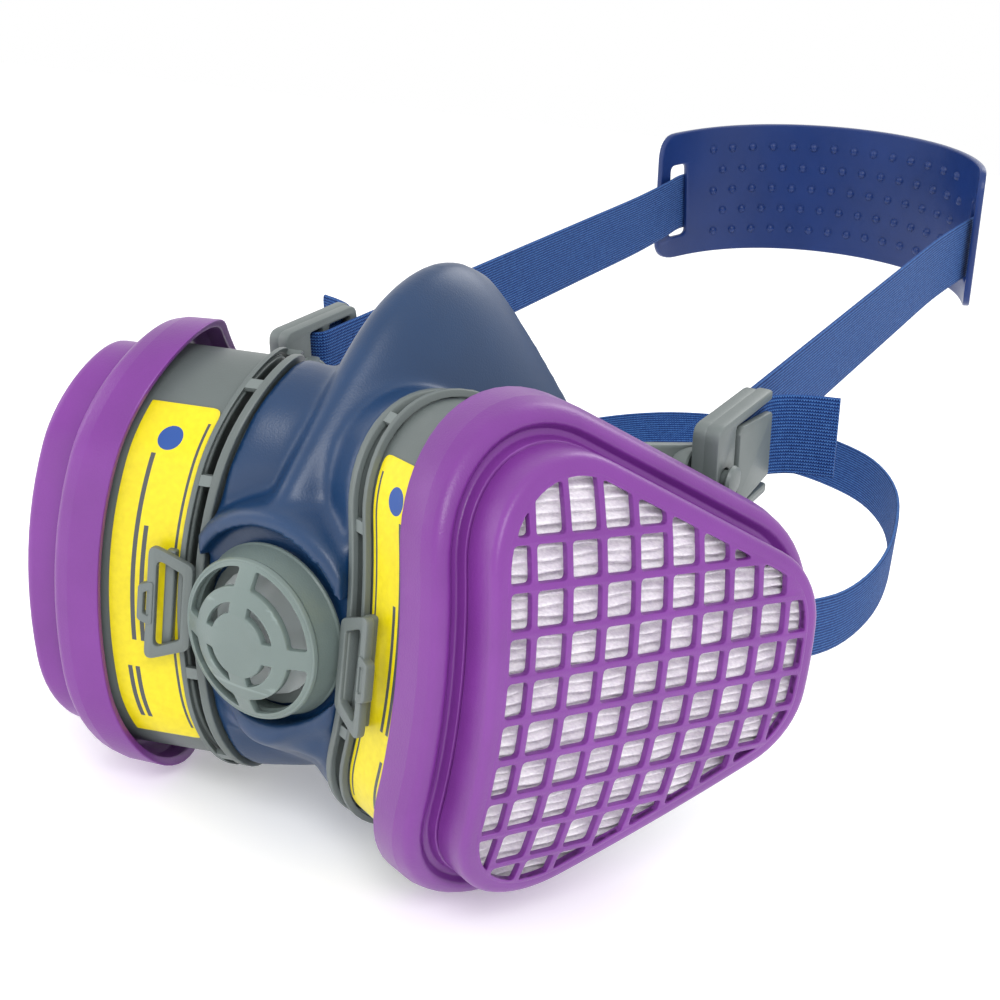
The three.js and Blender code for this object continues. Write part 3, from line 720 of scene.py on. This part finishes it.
def pleats():
    """Pleated filter paper: fore-aft folds, bunched unevenly in the middle."""
    inset = PLEAT_INSET
    top = CAP["front"][1] + CAP["front"][2] - inset - 0.6
    rows = 400
    columns = 44
    rings = []
    for i in range(rows + 1):
        up = top - 2 * top * i / rows
        start, end = span(CAP, up, inset)
        upper, lower = [], []
        for k in range(columns + 1):
            along = start + (end - start) * k / columns
            wander = 0.9 * math.sin(along * 0.11 + up * 0.23) + 0.5 * math.sin(along * 0.31 - up * 0.4)
            wander += 0.35 * math.sin(along * 0.83 + up * 1.3)
            tidy = min(max((up - 26.0) / 6.0, 0.0), 1.0)
            phase = up / PLEAT_PITCH * 2 * math.pi + wander * (1.0 - 0.75 * tidy)
            fold = math.sin(phase)
            crown = math.copysign(abs(fold) ** 0.7, fold)
            swell = 0.3 * math.sin(along * 0.21 + up * 0.17) * (1.0 - tidy)
            depth = PLEAT_DEPTH - PLEAT_HEIGHT * crown + swell
            if k in (0, columns):
                depth = PLEAT_DEPTH - 1.1
            upper.append(on_cartridge(along, up, depth))
            lower.append(on_cartridge(along, up, PLEAT_BACK))
        rings.append(lower + upper[::-1])
    return from_rings(rings)


finish_pair("pleated_filter", pleats(), "cartridge", "filter_fleece", FLEECE, "pleated_filter", angle=80.0)

# ---------------------------------------------------------------- canister, label, port frame, latch
def to_port(p):
    """From a turned part about Z to the cartridge's port axis."""
    return CARTRIDGE_CENTRE + along_axis * p.x + up_axis * p.y + outward_axis * p.z


canister = swept(BODY, filleted([
    (0.0, 14.4, 0.3), (0.0, 37.2, 0.0), (0.0, 38.5, 1.1), (2.6, 38.5, 0.3), (2.6, 36.9, 0.2),
    (1.6, 36.5, 0.2), (1.6, 16.2, 0.2), (6.5, 16.2, 0.2), (6.5, 14.4, 0.2),
]))
floor_plate = dished(BODY, [(2.4, 38.3), (1.7, 37.4), (2.4, 36.6)])
spigot = lathe([(14.4, -35.0), (16.0, -35.0), (16.0, -46.2), (15.7, -46.5), (14.7, -46.5), (14.4, -46.2)])
spigot = moved(spigot, to_port)
bore = lathe([(0.0, -30.0), (14.4, -30.0), (14.4, -48.0), (0.0, -48.0)], 64)
bore = moved(bore, to_port)
body_front = span(BODY, 0.0, 0.0)[0]


def local_block(a0, a1, u0, u1, d0, d1, edge=0.5):
    """A block in cartridge axes: along, up, depth."""
    shape = block(a0, a1, u0, u1, d0, d1, edge)
    return moved(shape, lambda p: CARTRIDGE_CENTRE + along_axis * p.x + up_axis * p.y - outward_axis * p.z)


catch = local_block(body_front - 2.4, body_front + 1.0, -16.0, 7.0, 34.0, 36.2)
floor_open = boolean("DIFFERENCE", floor_plate, bore)
finish_pair("canister_shell", combine(canister, floor_open, spigot, catch), "cartridge", "grey_plastic", GREY,
            "canister_shell")


def label_sheet():
    """The sticker that wraps the front of the canister."""
    loop = outline_loop(BODY, -0.12, arc=20, straight=30)
    front = [p for p in loop if p[0] < -24.0 or (p[0] < -10.0 and abs(p[1]) > 30)]
    front = sorted(front, key=lambda p: math.atan2(p[1], -(p[0] + 19.5)))
    lengths = [0.0]
    for a, b in zip(front, front[1:]):
        lengths.append(lengths[-1] + math.dist(a, b))
    middle = lengths[-1] / 2

    def wrapped(p):
        s = p.x + middle
        k = max(i for i, value in enumerate(lengths[:-1]) if value <= max(s, 0.0))
        t = (s - lengths[k]) / (lengths[k + 1] - lengths[k])
        a = front[k][0] + (front[k + 1][0] - front[k][0]) * t
        u = front[k][1] + (front[k + 1][1] - front[k][1]) * t
        normal = Vector((-(front[k + 1][1] - front[k][1]), front[k + 1][0] - front[k][0])).normalized()
        outside = p.z * (1 if normal.x < 0 else -1)
        return on_cartridge(a + normal.x * outside, u + normal.y * outside, p.y)

    corners = [(-38.0, 20.9, 0.3), (38.0, 20.9, 0.3), (38.0, 36.4, 2.2), (-38.0, 36.4, 2.2)]
    flat = plate(filleted(corners), [], 0.0, 0.16, 0.03, steps=(1.5, 0.0))
    uv = [(p[0] * MM, p[1] * MM) for p in flat[0]]
    shape = moved(flat, wrapped)
    return shape[0], shape[1], uv


finish_pair("label", label_sheet(), "cartridge", "label_paper", LABEL, "label", angle=60.0)

port_dish = dished(PORT, filleted([
    (8.5, 46.6, 0.4), (5.2, 46.6, 0.6), (3.7, 42.6, 0.3), (0.0, 42.5, 0.5), (0.0, 40.6, 0.4),
    (1.4, 40.6, 0.3), (1.6, 41.2, 0.3), (5.0, 41.4, 0.5), (6.0, 43.2, 0.5), (8.5, 43.4, 0.4),
], closed=False))
tube = lathe([(0.0, -44.5), (19.0, -44.5), (19.0, -52.6), (18.6, -53.0), (0.0, -53.0)])
tube_bore = lathe([(0.0, -30.0), (16.3, -30.0), (16.3, -60.0), (0.0, -60.0)])
port = boolean("UNION", port_dish, moved(tube, to_port))
port = boolean("DIFFERENCE", port, moved(tube_bore, to_port))


def harness_lug(stud):
    """The arm from the port frame's rear edge to a round stud whose axis is X."""
    up = stud.z - CARTRIDGE_CENTRE.z
    edge = span(PORT, up, 7.0)[1] - 3.0
    root = on_cartridge(edge, up, 43.6)
    tip = Vector((54.6, stud.y + 2.0, stud.z))
    direction = (tip - root).normalized()
    side = direction.cross(up_axis).normalized()
    arm = block(0.0, (tip - root).length, -1.5, 1.5, -6.0, 6.0, 0.9)
    arm = moved(arm, lambda p: root + direction * p.x + side * p.y + up_axis * p.z)
    pin = lathe([(0.0, 52.0), (5.1, 52.0), (5.5, 52.4), (5.5, 55.6), (5.1, 56.0), (2.0, 56.0), (2.0, 64.6),
                 (3.1, 64.6), (3.4, 65.0), (3.1, 65.7), (2.4, 66.0), (0.0, 66.0)], 40)
    pin = moved(pin, lambda p: Vector((p.z, stud.y + p.x, stud.z + p.y)))
    return arm, pin


def outline_piece(outline, start, length, profile):
    """A short length of a profile of (inset, depth) points, placed by distance from the outline's front."""
    loop = outline_loop(outline, 0.0, arc=30, straight=40)
    front = min(range(len(loop)), key=lambda i: (loop[i][0], abs(loop[i][1])))
    loop = loop[front:] + loop[:front]
    distances = [0.0]
    for a, b in zip(loop, loop[1:] + loop[:1]):
        distances.append(distances[-1] + math.dist(a, b))
    rings = []
    for step in range(4):
        s = (start + length * (step / 3 - 0.5)) % distances[-1]
        k = max(i for i, value in enumerate(distances[:-1]) if value <= s)
        a, b = loop[k], loop[(k + 1) % len(loop)]
        t = (s - distances[k]) / (distances[k + 1] - distances[k])
        normal = Vector((b[1] - a[1], a[0] - b[0])).normalized()
        x = a[0] + (b[0] - a[0]) * t
        y = a[1] + (b[1] - a[1]) * t
        rings.append([on_cartridge(x - normal.x * inset, y - normal.y * inset, depth)
                      for inset, depth in profile])
    return from_rings(rings)


TAB_DISTANCES = (-118, -92, -66, -44, -23, 20, 42, 64, 88, 112)  # round the outline from its front
TAB_LENGTH = 2.4
guard = swept(BODY, filleted([(-0.45, 36.8, 0.2), (-1.9, 36.8, 0.3), (-1.9, 38.0, 0.3), (-0.45, 38.0, 0.2)]))
tab_profile = filleted([(-0.5, 37.4, 0.0), (-1.8, 37.4, 0.0), (-1.8, 41.2, 0.0), (-0.5, 41.2, 0.0)])
port_pieces = [port, guard]
for distance in TAB_DISTANCES:
    port_pieces.append(outline_piece(BODY, distance, TAB_LENGTH, tab_profile))
for stud in (STUD, NECK_STUD):
    port_pieces += harness_lug(stud)
finish_pair("port_frame", combine(*port_pieces), "facepiece", "grey_plastic", GREY, "port_frame")

outer_face = body_front - 4.4


def latch():
    """A flat bail with an opening over the catch, its hinge bar and a finger loop."""
    corners = [(-13.8, 41.0, 2.0), (4.8, 41.0, 2.0), (8.6, 31.0, 1.8), (-17.6, 31.0, 1.8)]
    opening = [(-11.8, 38.8, 1.2), (2.8, 38.8, 1.2), (5.4, 33.0, 1.2), (-14.4, 33.0, 1.2)]
    bail = plate(filleted(corners, steps=6), [filleted(opening, steps=6)[::-1]], -0.2, 1.7, 0.35)
    hinge = local_block(outer_face + 0.4, body_front - 0.8, -12.8, 3.8, 38.6, 40.3, 0.6)
    loop_outer = [(-9.5, 32.6, 0.8), (0.5, 32.6, 0.8), (-0.6, 29.2, 1.2), (-8.4, 29.2, 1.2)]
    loop_hole = [(-7.4, 31.8, 0.5), (-1.6, 31.8, 0.5), (-2.2, 30.5, 0.5), (-6.8, 30.5, 0.5)]
    finger = plate(filleted(loop_outer, steps=5), [filleted(loop_hole, steps=5)[::-1]], -0.6, 1.5, 0.3)
    flat = moved(combine(bail, finger), lambda p: CARTRIDGE_CENTRE + along_axis * (outer_face + p.z)
                 + up_axis * p.x - outward_axis * p.y)
    return combine(flat, hinge)


finish_pair("latch_clip", latch(), "latch", "grey_plastic", GREY, "latch_clip")

# ---------------------------------------------------------------- facepiece
# Rings from the front to the sealing edge: half width, top, bottom, side y, top y, bottom y, pinch.
FACE_RINGS = [
    (17.0, 9.0, -38.0, -64.5, -70.0, -69.0, 0.60),
    (20.0, 23.0, -44.0, -55.0, -60.0, -58.0, 0.55),
    (26.0, 38.0, -50.0, -40.0, -48.0, -47.0, 0.50),
    (32.5, 51.0, -54.0, -24.0, -36.0, -36.0, 0.50),
    (39.0, 58.0, -56.0, -8.0, -24.0, -25.0, 0.54),
    (44.5, 60.0, -56.5, 5.0, -12.0, -14.0, 0.62),
    (49.0, 57.0, -56.0, 17.0, 0.0, -4.0, 0.70),
]
RING_MIDDLE = (-14.0, -13.0, -12.0, -10.0, -10.0, -10.0, -10.0)
FACE_WALL = 2.4
RECESS_SHIFT = Vector((0.0, 1.4, 0.0))  # the valve recess and its hood sit a little above the valve


def face_ring(values, inset=0.0, push=0.0, sides=120):
    half, top, bottom, side_y, top_y, bottom_y, pinch, middle = values
    ring = []
    for i in range(sides):
        angle = 2 * math.pi * i / sides
        s = math.sin(angle)
        height = (top - inset - middle) if s > 0 else (middle - bottom - inset)
        narrow = 1 - pinch * s ** 0.8 if s > 0 else 1 + 0.12 * s
        edge_y = top_y if s > 0 else bottom_y
        ring.append(Vector(((half - inset) * math.cos(angle) * narrow,
                            side_y + (edge_y - side_y) * s * s + push, middle + height * s)))
    return ring


def face_loft(rows, inset=0.0, push=0.0, per_gap=6, ending=()):
    """A smooth closed solid through the rings, and through any ready-made rings at its end."""
    table = [np.array(row) for row in rows]
    ends = [2 * table[0] - table[1]] + table + [2 * table[-1] - table[-2]]
    rings = []
    for i in range(1, len(ends) - 2):
        for k in range(per_gap):
            rings.append(face_ring(between(*ends[i - 1:i + 3], k / per_gap), inset, push))
    rings.append(face_ring(table[-1], inset, push))
    return capped(rings + list(ending))


def in_valve(shape):
    return moved(shape, lambda p: valve_matrix @ p)


def disc(radius, low, high, segments=72):
    return lathe([(0.0, low), (radius, low), (radius, high), (0.0, high)], segments)


def remeshed(shape, voxel, smooth):
    """Voxel remesh and smoothing, which turn hard joins into moulded fillets."""
    obj = temporary(shape)
    modifier = obj.modifiers.new("remesh", "REMESH")
    modifier.mode = "VOXEL"
    modifier.voxel_size = voxel
    if smooth:
        relax = obj.modifiers.new("smooth", "SMOOTH")
        relax.factor = 0.5
        relax.iterations = smooth
    return baked(obj)


def facepiece():
    rows = [row + (middle,) for row, middle in zip(FACE_RINGS, RING_MIDDLE)]
    body = face_loft(rows)
    pad = dished(PORT, [(4.0, 63.0), (2.4, 56.0), (0.6, 42.9)])
    brow = lathe([(0.0, -24.0), (26.4, -24.0), (24.9, -6.0), (24.0, -4.4), (0.0, -4.4)], 96)
    brow = in_valve(moved(brow, lambda p: p + RECESS_SHIFT))
    chin = block(-14.5, 14.5, -65.0, -40.0, -40.5, -28.0, 4.0, 4)
    whole = boolean("UNION", body, pad, mirrored(pad), brow, chin)
    clearance = dished(PORT, [(-0.6, 42.9), (-2.5, 38.0), (-9.0, 12.0)])
    whole = boolean("DIFFERENCE", whole, clearance, mirrored(clearance))
    whole = remeshed(whole, 1.1, 10)
    deep = dished(PORT, [(4.0, 49.6), (-4.0, 43.5), (-11.0, 9.0)])
    inner = [(16.0, 1.0, -30.0, -59.7, -59.7, -59.7, 0.1, -14.0)]
    inner += [row[:3] + (row[3] + 2.0, row[4] + 4.0) + row[5:] for row in rows[1:-1]]
    last = rows[-1]
    mouth = [face_ring(last, 8.0, 0.0), face_ring(last, 8.0, 25.0)]
    wall = (-FACE_WALL, -FACE_WALL, FACE_WALL, 1.5, 1.5, 1.5, 0.0, 0.0)
    inner[1:] = [tuple(value + change for value, change in zip(row, wall)) for row in inner[1:]]
    hollow = face_loft(inner, ending=mouth)
    hollow = boolean("DIFFERENCE", hollow, deep, mirrored(deep))
    recess = in_valve(moved(disc(21.0, -8.4, 12.0, 96), lambda p: p + RECESS_SHIFT))
    valve_hole = in_valve(disc(14.0, -24.0, 1.0))
    port_hole = moved(disc(19.3, -60.0, -40.0), to_port)
    pocket = dished(PORT, [(4.6, 47.0), (3.2, 42.0)])
    whole = boolean("DIFFERENCE", whole, hollow, recess, valve_hole, port_hole, mirrored(port_hole), pocket,
                    mirrored(pocket))
    return remeshed(whole, 0.8, 3)


finish_piece("facepiece_shell", facepiece(), "facepiece", "facepiece_silicone", SILICONE, ["facepiece"],
             angle=60.0)

# ---------------------------------------------------------------- exhalation valve cover
DOME = 4.0


def dome_height(radius):
    if radius < 6.6:
        return DOME
    if radius < 12.0:
        return DOME * (1 - 0.38 * (radius - 6.6) / 5.4)
    return DOME * 0.62 * (1 - (radius - 12.0) / 4.9) if radius < 16.9 else 0.0


def sector(inner, outer, start, end, spoke, radius=0.8):
    """One window between two spokes, with rounded corners. The spokes are spoke wide."""
    near = [(inner, start + spoke / 2 / inner), (inner, end - spoke / 2 / inner)]
    far = [(outer, end - spoke / 2 / outer), (outer, start + spoke / 2 / outer)]
    loop = []
    for (r0, a0), (r1, a1) in ((near[0], near[1]), (far[0], far[1])):
        steps = 14
        arc = [(r0 * math.cos(a0 + (a1 - a0) * k / steps), r0 * math.sin(a0 + (a1 - a0) * k / steps))
               for k in range(steps + 1)]
        loop += [(x, y, radius if k in (0, steps) else 0.0) for k, (x, y) in enumerate(arc)]
    return filleted(loop, steps=3)


def valve_cover():
    windows = []
    for quarter in range(4):
        start = quarter * math.pi / 2
        windows.append(sector(12.0, 15.6, start, start + math.pi / 2, 4.2))
        windows.append(sector(6.9, 8.9, start, start + math.pi / 2, 4.6, 0.5))
    rim = [(16.6 * math.cos(2 * math.pi * k / 96), 16.6 * math.sin(2 * math.pi * k / 96)) for k in range(96)]
    face = plate(rim, windows, -1.7, 0.0, 0.25, steps=(1.5, 1.5))
    face = moved(face, lambda p: Vector((p.x, p.y, p.z + dome_height(math.hypot(p.x, p.y)))))
    wall = lathe(filleted([
        (16.1, -1.2, 0.2), (16.1, 0.15, 0.4), (16.9, 0.25, 0.35), (17.25, -0.6, 0.3), (17.0, -1.1, 0.2),
        (18.2, -6.0, 0.2), (18.5, -6.4, 0.3), (18.5, -7.0, 0.2), (16.8, -7.0, 0.2), (15.4, -2.0, 0.3),
    ]), 96)
    return in_valve(combine(face, wall))


finish_piece("valve_cover_face", valve_cover(), "valve_cover", "valve_plastic", VALVE, ["valve_cover"])

# ---------------------------------------------------------------- harness
turned_fold = [
    (76.0, 34.0), (70.0, 32.5), (64.5, 30.0), (61.0, 25.6), (61.0, 16.0), (61.0, 9.8), (59.9, 8.0),
    (58.4, 7.4), (56.8, 8.0), (55.9, 9.8), (55.9, 16.0),
]
run_length = math.hypot(SLOT.y - STUD.y, SLOT.z - STUD.z)
strap_start = Vector((55.9, STUD.y + 22.0, STUD.z))
strap_end = Vector((SLOT.x, STUD.y + run_length, STUD.z))
strap_points = [Vector((x, STUD.y + y, STUD.z)) for x, y in turned_fold]
strap_points += [strap_start.lerp(strap_end, t) for t in (0.02, 0.2, 0.4, 0.6, 0.78)]
through_slot = [
    (53.3, 192.0), (53.9, 202.5), (54.25, 207.0), (54.7, 211.5), (54.5, 216.1), (52.2, 220.5), (48.1, 225.1),
    (43.2, 229.4),
]
strap_points += [Vector((x, STUD.y + along, STUD.z)) for x, along in through_slot]
strap_path = [harness_tilt @ p for p in smooth_path(strap_points, 5)]
strap_rise = Vector((0.0, -math.sin(HARNESS_RISE), math.cos(HARNESS_RISE)))
finish_pair("upper_strap", ribbon(strap_path, strap_rise, STRAP_WIDTH), "head_harness", "webbing",
            WEB, "upper_strap", angle=60.0)

neck_half = [
    (61.2, 26, 0), (61.2, 19, 0), (61.0, 14.4, 0), (59.4, 12.6, 0), (57, 12.4, 0), (55.6, 14, 0),
    (55.4, 19, 0), (57, 30, -0.5), (64, 55, -2), (69, 81, -3), (70, 106, 0), (66, 131, 5),
    (56, 160, 10), (40, 183, 13),
    (20, 195, 14.5),
]
neck_half = [Vector((x, NECK_STUD.y + y, NECK_STUD.z + z)) for x, y, z in neck_half]
neck_points = neck_half + [Vector((0.0, NECK_STUD.y + 198.5, NECK_STUD.z + 15.0))]
neck_points += [Vector((-p.x, p.y, p.z)) for p in reversed(neck_half)]
finish_piece("neck_strap_loop", ribbon(smooth_path(neck_points, 5), up_axis, NECK_STRAP_WIDTH),
             "neck_harness", "webbing", WEB, ["neck_strap"], angle=60.0)

CRADLE_HEIGHT = 46.0
CRADLE_THICKNESS = 2.2


def cradle_middle(share):
    bow = max(1 - share * share, 0.0)
    x = 57.5 * math.sin(share * 1.25) / math.sin(1.25)
    return Vector((x, 205 + 36 * bow ** 0.85, SLOT.z + 10 * bow))


cradle_table = [cradle_middle(-1 + 2 * k / 400) for k in range(401)]
cradle_lengths = [0.0]
for here, following in zip(cradle_table, cradle_table[1:]):
    cradle_lengths.append(cradle_lengths[-1] + (following - here).length)
cradle_total = cradle_lengths[-1]


def on_cradle(p):
    """From a flat layout (length, height, thickness towards the head) to the bent band."""
    s = min(max(p.x + cradle_total / 2, 0.0), cradle_total)
    k = min(int(np.searchsorted(cradle_lengths, s, side="right")) - 1, 399)
    t = (s - cradle_lengths[k]) / (cradle_lengths[k + 1] - cradle_lengths[k])
    middle = cradle_table[k].lerp(cradle_table[k + 1], t)
    before = cradle_table[max(k - 6, 0)]
    after = cradle_table[min(k + 7, 400)]
    side = (after - before).cross(strap_rise).normalized()
    rise = side.cross(after - before).normalized()
    if rise.z < 0:
        rise.negate()
    if side.y > 0:
        side.negate()
    return middle + rise * p.y + side * p.z


def head_cradle():
    half = cradle_total / 2
    high = CRADLE_HEIGHT / 2
    corners = [(-half, -high, 9.0), (half, -high, 9.0), (half, high, 9.0), (-half, high, 9.0)]
    slots = []
    for sign in (1, -1):
        middle = sign * (half - 9.5)
        slot = [(middle - 3.9, -15.0, 2.2), (middle + 3.9, -15.0, 2.2), (middle + 3.9, 11.5, 2.2),
                (middle - 3.9, 11.5, 2.2)]
        slots.append(filleted(slot, steps=4))
    flat = plate(filleted(corners, steps=8), slots, -CRADLE_THICKNESS / 2, CRADLE_THICKNESS / 2, 0.5,
                 (2.0, 4.0))
    shapes = [flat]
    for row in range(5):
        for column in range(14):
            x = (column - 6.5) * 7.4 + (1.85 if row % 2 else -1.85)
            y = (row - 2) * 7.6
            shapes.append(stud_bump(x, y))
    return moved(combine(*shapes), on_cradle)


def stud_bump(x, y, radius=1.5, height=1.1):
    """A low round bump on the inner side of the cradle."""
    rings = []
    base = CRADLE_THICKNESS / 2
    for r, h in ((0.9, -0.5), (1.0, 0.0), (0.85, 0.45), (0.6, 0.8), (0.25, 1.0)):
        rings.append([(x + radius * r * math.cos(k * math.pi / 6), y + radius * r * math.sin(k * math.pi / 6),
                       base + height * h) for k in range(12)])
    return from_rings(rings)


finish_piece("head_cradle_band", head_cradle(), "head_harness", "cradle_plastic", CRADLE, ["head_cradle"])

def circle(radius, count=28):
    angles = [2 * math.pi * k / count for k in range(count)]
    return [(radius * math.cos(angle), radius * math.sin(angle)) for angle in angles]


def rounded_box(x0, x1, y0, y1, radius):
    return filleted([(x0, y0, radius), (x1, y0, radius), (x1, y1, radius), (x0, y1, radius)])


def in_buckle(shape, stud, change=None):
    """From a plate lying along the strap (along, up, outwards) to its place at a stud."""
    placed = moved(shape, lambda p: Vector((p.z, stud.y + p.x, stud.z + p.y)))
    return moved(placed, lambda p: change @ p) if change else placed


BUCKLE_HALF = 13.0
LEVER_HALF = 9.9


def buckle_frame():
    """A flat frame with two strap slots, a raised front and raised side rails."""
    base = plate(rounded_box(-4.5, 24.5, -BUCKLE_HALF, BUCKLE_HALF, 3.0),
                 [rounded_box(4.9, 10.0, -10.6, 10.6, 1.0), rounded_box(12.6, 21.6, -10.6, 10.6, 1.0),
                  circle(2.4)], 57.0, 60.2, 0.5)
    rim = [
        (-4.5, -BUCKLE_HALF, 3.4), (24.5, -BUCKLE_HALF, 2.0), (24.5, -10.4, 1.0), (5.0, -10.4, 1.0),
        (5.0, 10.4, 1.0), (24.5, 10.4, 1.0), (24.5, BUCKLE_HALF, 2.0), (-4.5, BUCKLE_HALF, 3.4),
    ]
    raised = plate(filleted(rim), [circle(2.4)], 59.6, 63.4, 0.7)
    return in_buckle(combine(base, raised), STUD, harness_tilt)


def buckle_lever():
    """The cover plate between the rails. Its edges draw in towards the free rear end."""
    corners = [
        (5.8, 1.6 - LEVER_HALF, 0.5), (7.4, -LEVER_HALF, 0.6), (23.6, 2.0 - LEVER_HALF, 1.2),
        (23.6, LEVER_HALF - 2.0, 1.2), (7.4, LEVER_HALF, 0.6), (5.8, LEVER_HALF - 1.6, 0.5),
    ]
    return in_buckle(plate(filleted(corners), [], 62.2, 64.0, 0.45), STUD, harness_tilt)


def neck_buckle():
    base = plate(rounded_box(-5.0, 19.0, -11.5, 11.5, 3.0),
                 [rounded_box(7.0, 16.0, -9.1, 9.1, 1.0), circle(2.4)], 57.0, 60.0, 0.5)
    raised = plate(rounded_box(-5.0, 5.0, -8.0, 8.0, 2.4), [circle(2.4)], 59.5, 61.0, 0.5)
    return in_buckle(combine(base, raised), NECK_STUD)


finish_pair("buckle_frame", buckle_frame(), "head_harness", "grey_plastic", GREY, "buckle_frame")
finish_pair("buckle_lever", buckle_lever(), "buckle_lever", "grey_plastic", GREY, "buckle_lever")
finish_pair("neck_buckle", neck_buckle(), "neck_harness", "grey_plastic", GREY, "neck_buckle")

# ---------------------------------------------------------------- carried-over CAD nodes
CARRIED = {
    "exhalation_seat": GREY, "exhalation_flap": MEMBRANE, "port_gasket": RUBBER, "inhalation_seat": GREY,
    "inhalation_flap": MEMBRANE, "carbon_bed": CARBON, "dust_fleece": FLEECE,
}
for name, obj in frame["nodes"].items():
    stem = name.removesuffix("_left").removesuffix("_right")
    if stem not in CARRIED:
        continue
    obj.data.materials.clear()
    obj.data.materials.append(CARRIED[stem])
    if stem not in ("carbon_bed", "dust_fleece"):
        edge = obj.modifiers.new("soft edges", "BEVEL")
        edge.width = 0.2 * MM
        edge.segments = 3
        edge.limit_method = "ANGLE"
        edge.angle_limit = math.radians(35)
        edge.harden_normals = False

# ---------------------------------------------------------------- stage, light and camera
FLOOR_SIZE = 40.0
FLOOR_HEIGHT = -0.0640
CAMERA_PLACE = Vector((179.8, -283.3, 93.6))
CAMERA_AZIMUTH = 30.69
CAMERA_ELEVATION = 15.0
CAMERA_ROLL = 6.39
CAMERA_LENS = 52.2

bpy.ops.mesh.primitive_plane_add(size=FLOOR_SIZE, location=(0.0, 0.0, FLOOR_HEIGHT))
floor = bpy.context.object
floor.name = "floor"
white, white_nodes, white_links, white_shader = shader("white_floor", 0.9)
white_shader.inputs["Base Color"].default_value = (0.97, 0.97, 0.97, 1.0)
white_shader.inputs["Emission Color"].default_value = (1.0, 1.0, 1.0, 1.0)
white_shader.inputs["Emission Strength"].default_value = 0.25
floor.data.materials.append(white)

world = bpy.data.worlds.new("studio")
bpy.context.scene.world = world
world.use_nodes = True
world.node_tree.nodes["Background"].inputs["Color"].default_value = (1.0, 1.0, 1.0, 1.0)
world.node_tree.nodes["Background"].inputs["Strength"].default_value = 1.0


def soft_light(name, location, target, size, watts):
    data = bpy.data.lights.new(name, "AREA")
    data.shape = "DISK"
    data.size = size
    data.energy = watts
    light = bpy.data.objects.new(name, data)
    light.location = location
    light.rotation_euler = (Vector(target) - Vector(location)).to_track_quat("-Z", "Y").to_euler()
    bpy.context.scene.collection.objects.link(light)


soft_light("key", (0.55, -0.75, 0.75), (0.0, 0.0, 0.0), 0.5, 5.0)
soft_light("fill", (-0.8, -0.5, 0.35), (0.0, 0.0, 0.0), 0.6, 1.5)
soft_light("back", (0.1, 0.9, 0.8), (0.0, 0.1, 0.0), 0.6, 3.0)

azimuth = math.radians(CAMERA_AZIMUTH)
elevation = math.radians(CAMERA_ELEVATION)
roll = math.radians(CAMERA_ROLL)
back = Vector((math.sin(azimuth) * math.cos(elevation), -math.cos(azimuth) * math.cos(elevation),
               math.sin(elevation)))
right = Vector((math.cos(azimuth), math.sin(azimuth), 0.0))
up = back.cross(right)
camera_right = right * math.cos(roll) + up * math.sin(roll)
camera_up = up * math.cos(roll) - right * math.sin(roll)
camera_data = bpy.data.cameras.new("camera")
camera_data.lens = CAMERA_LENS
camera_data.sensor_width = 36.0
camera_data.clip_start = 0.02
camera = bpy.data.objects.new("camera", camera_data)
turn = Matrix((camera_right, camera_up, back)).transposed().to_4x4()
camera.matrix_world = Matrix.Translation(CAMERA_PLACE * MM) @ turn
bpy.context.scene.collection.objects.link(camera)
bpy.context.scene.camera = camera
bpy.context.scene.view_settings.view_transform = "Standard"
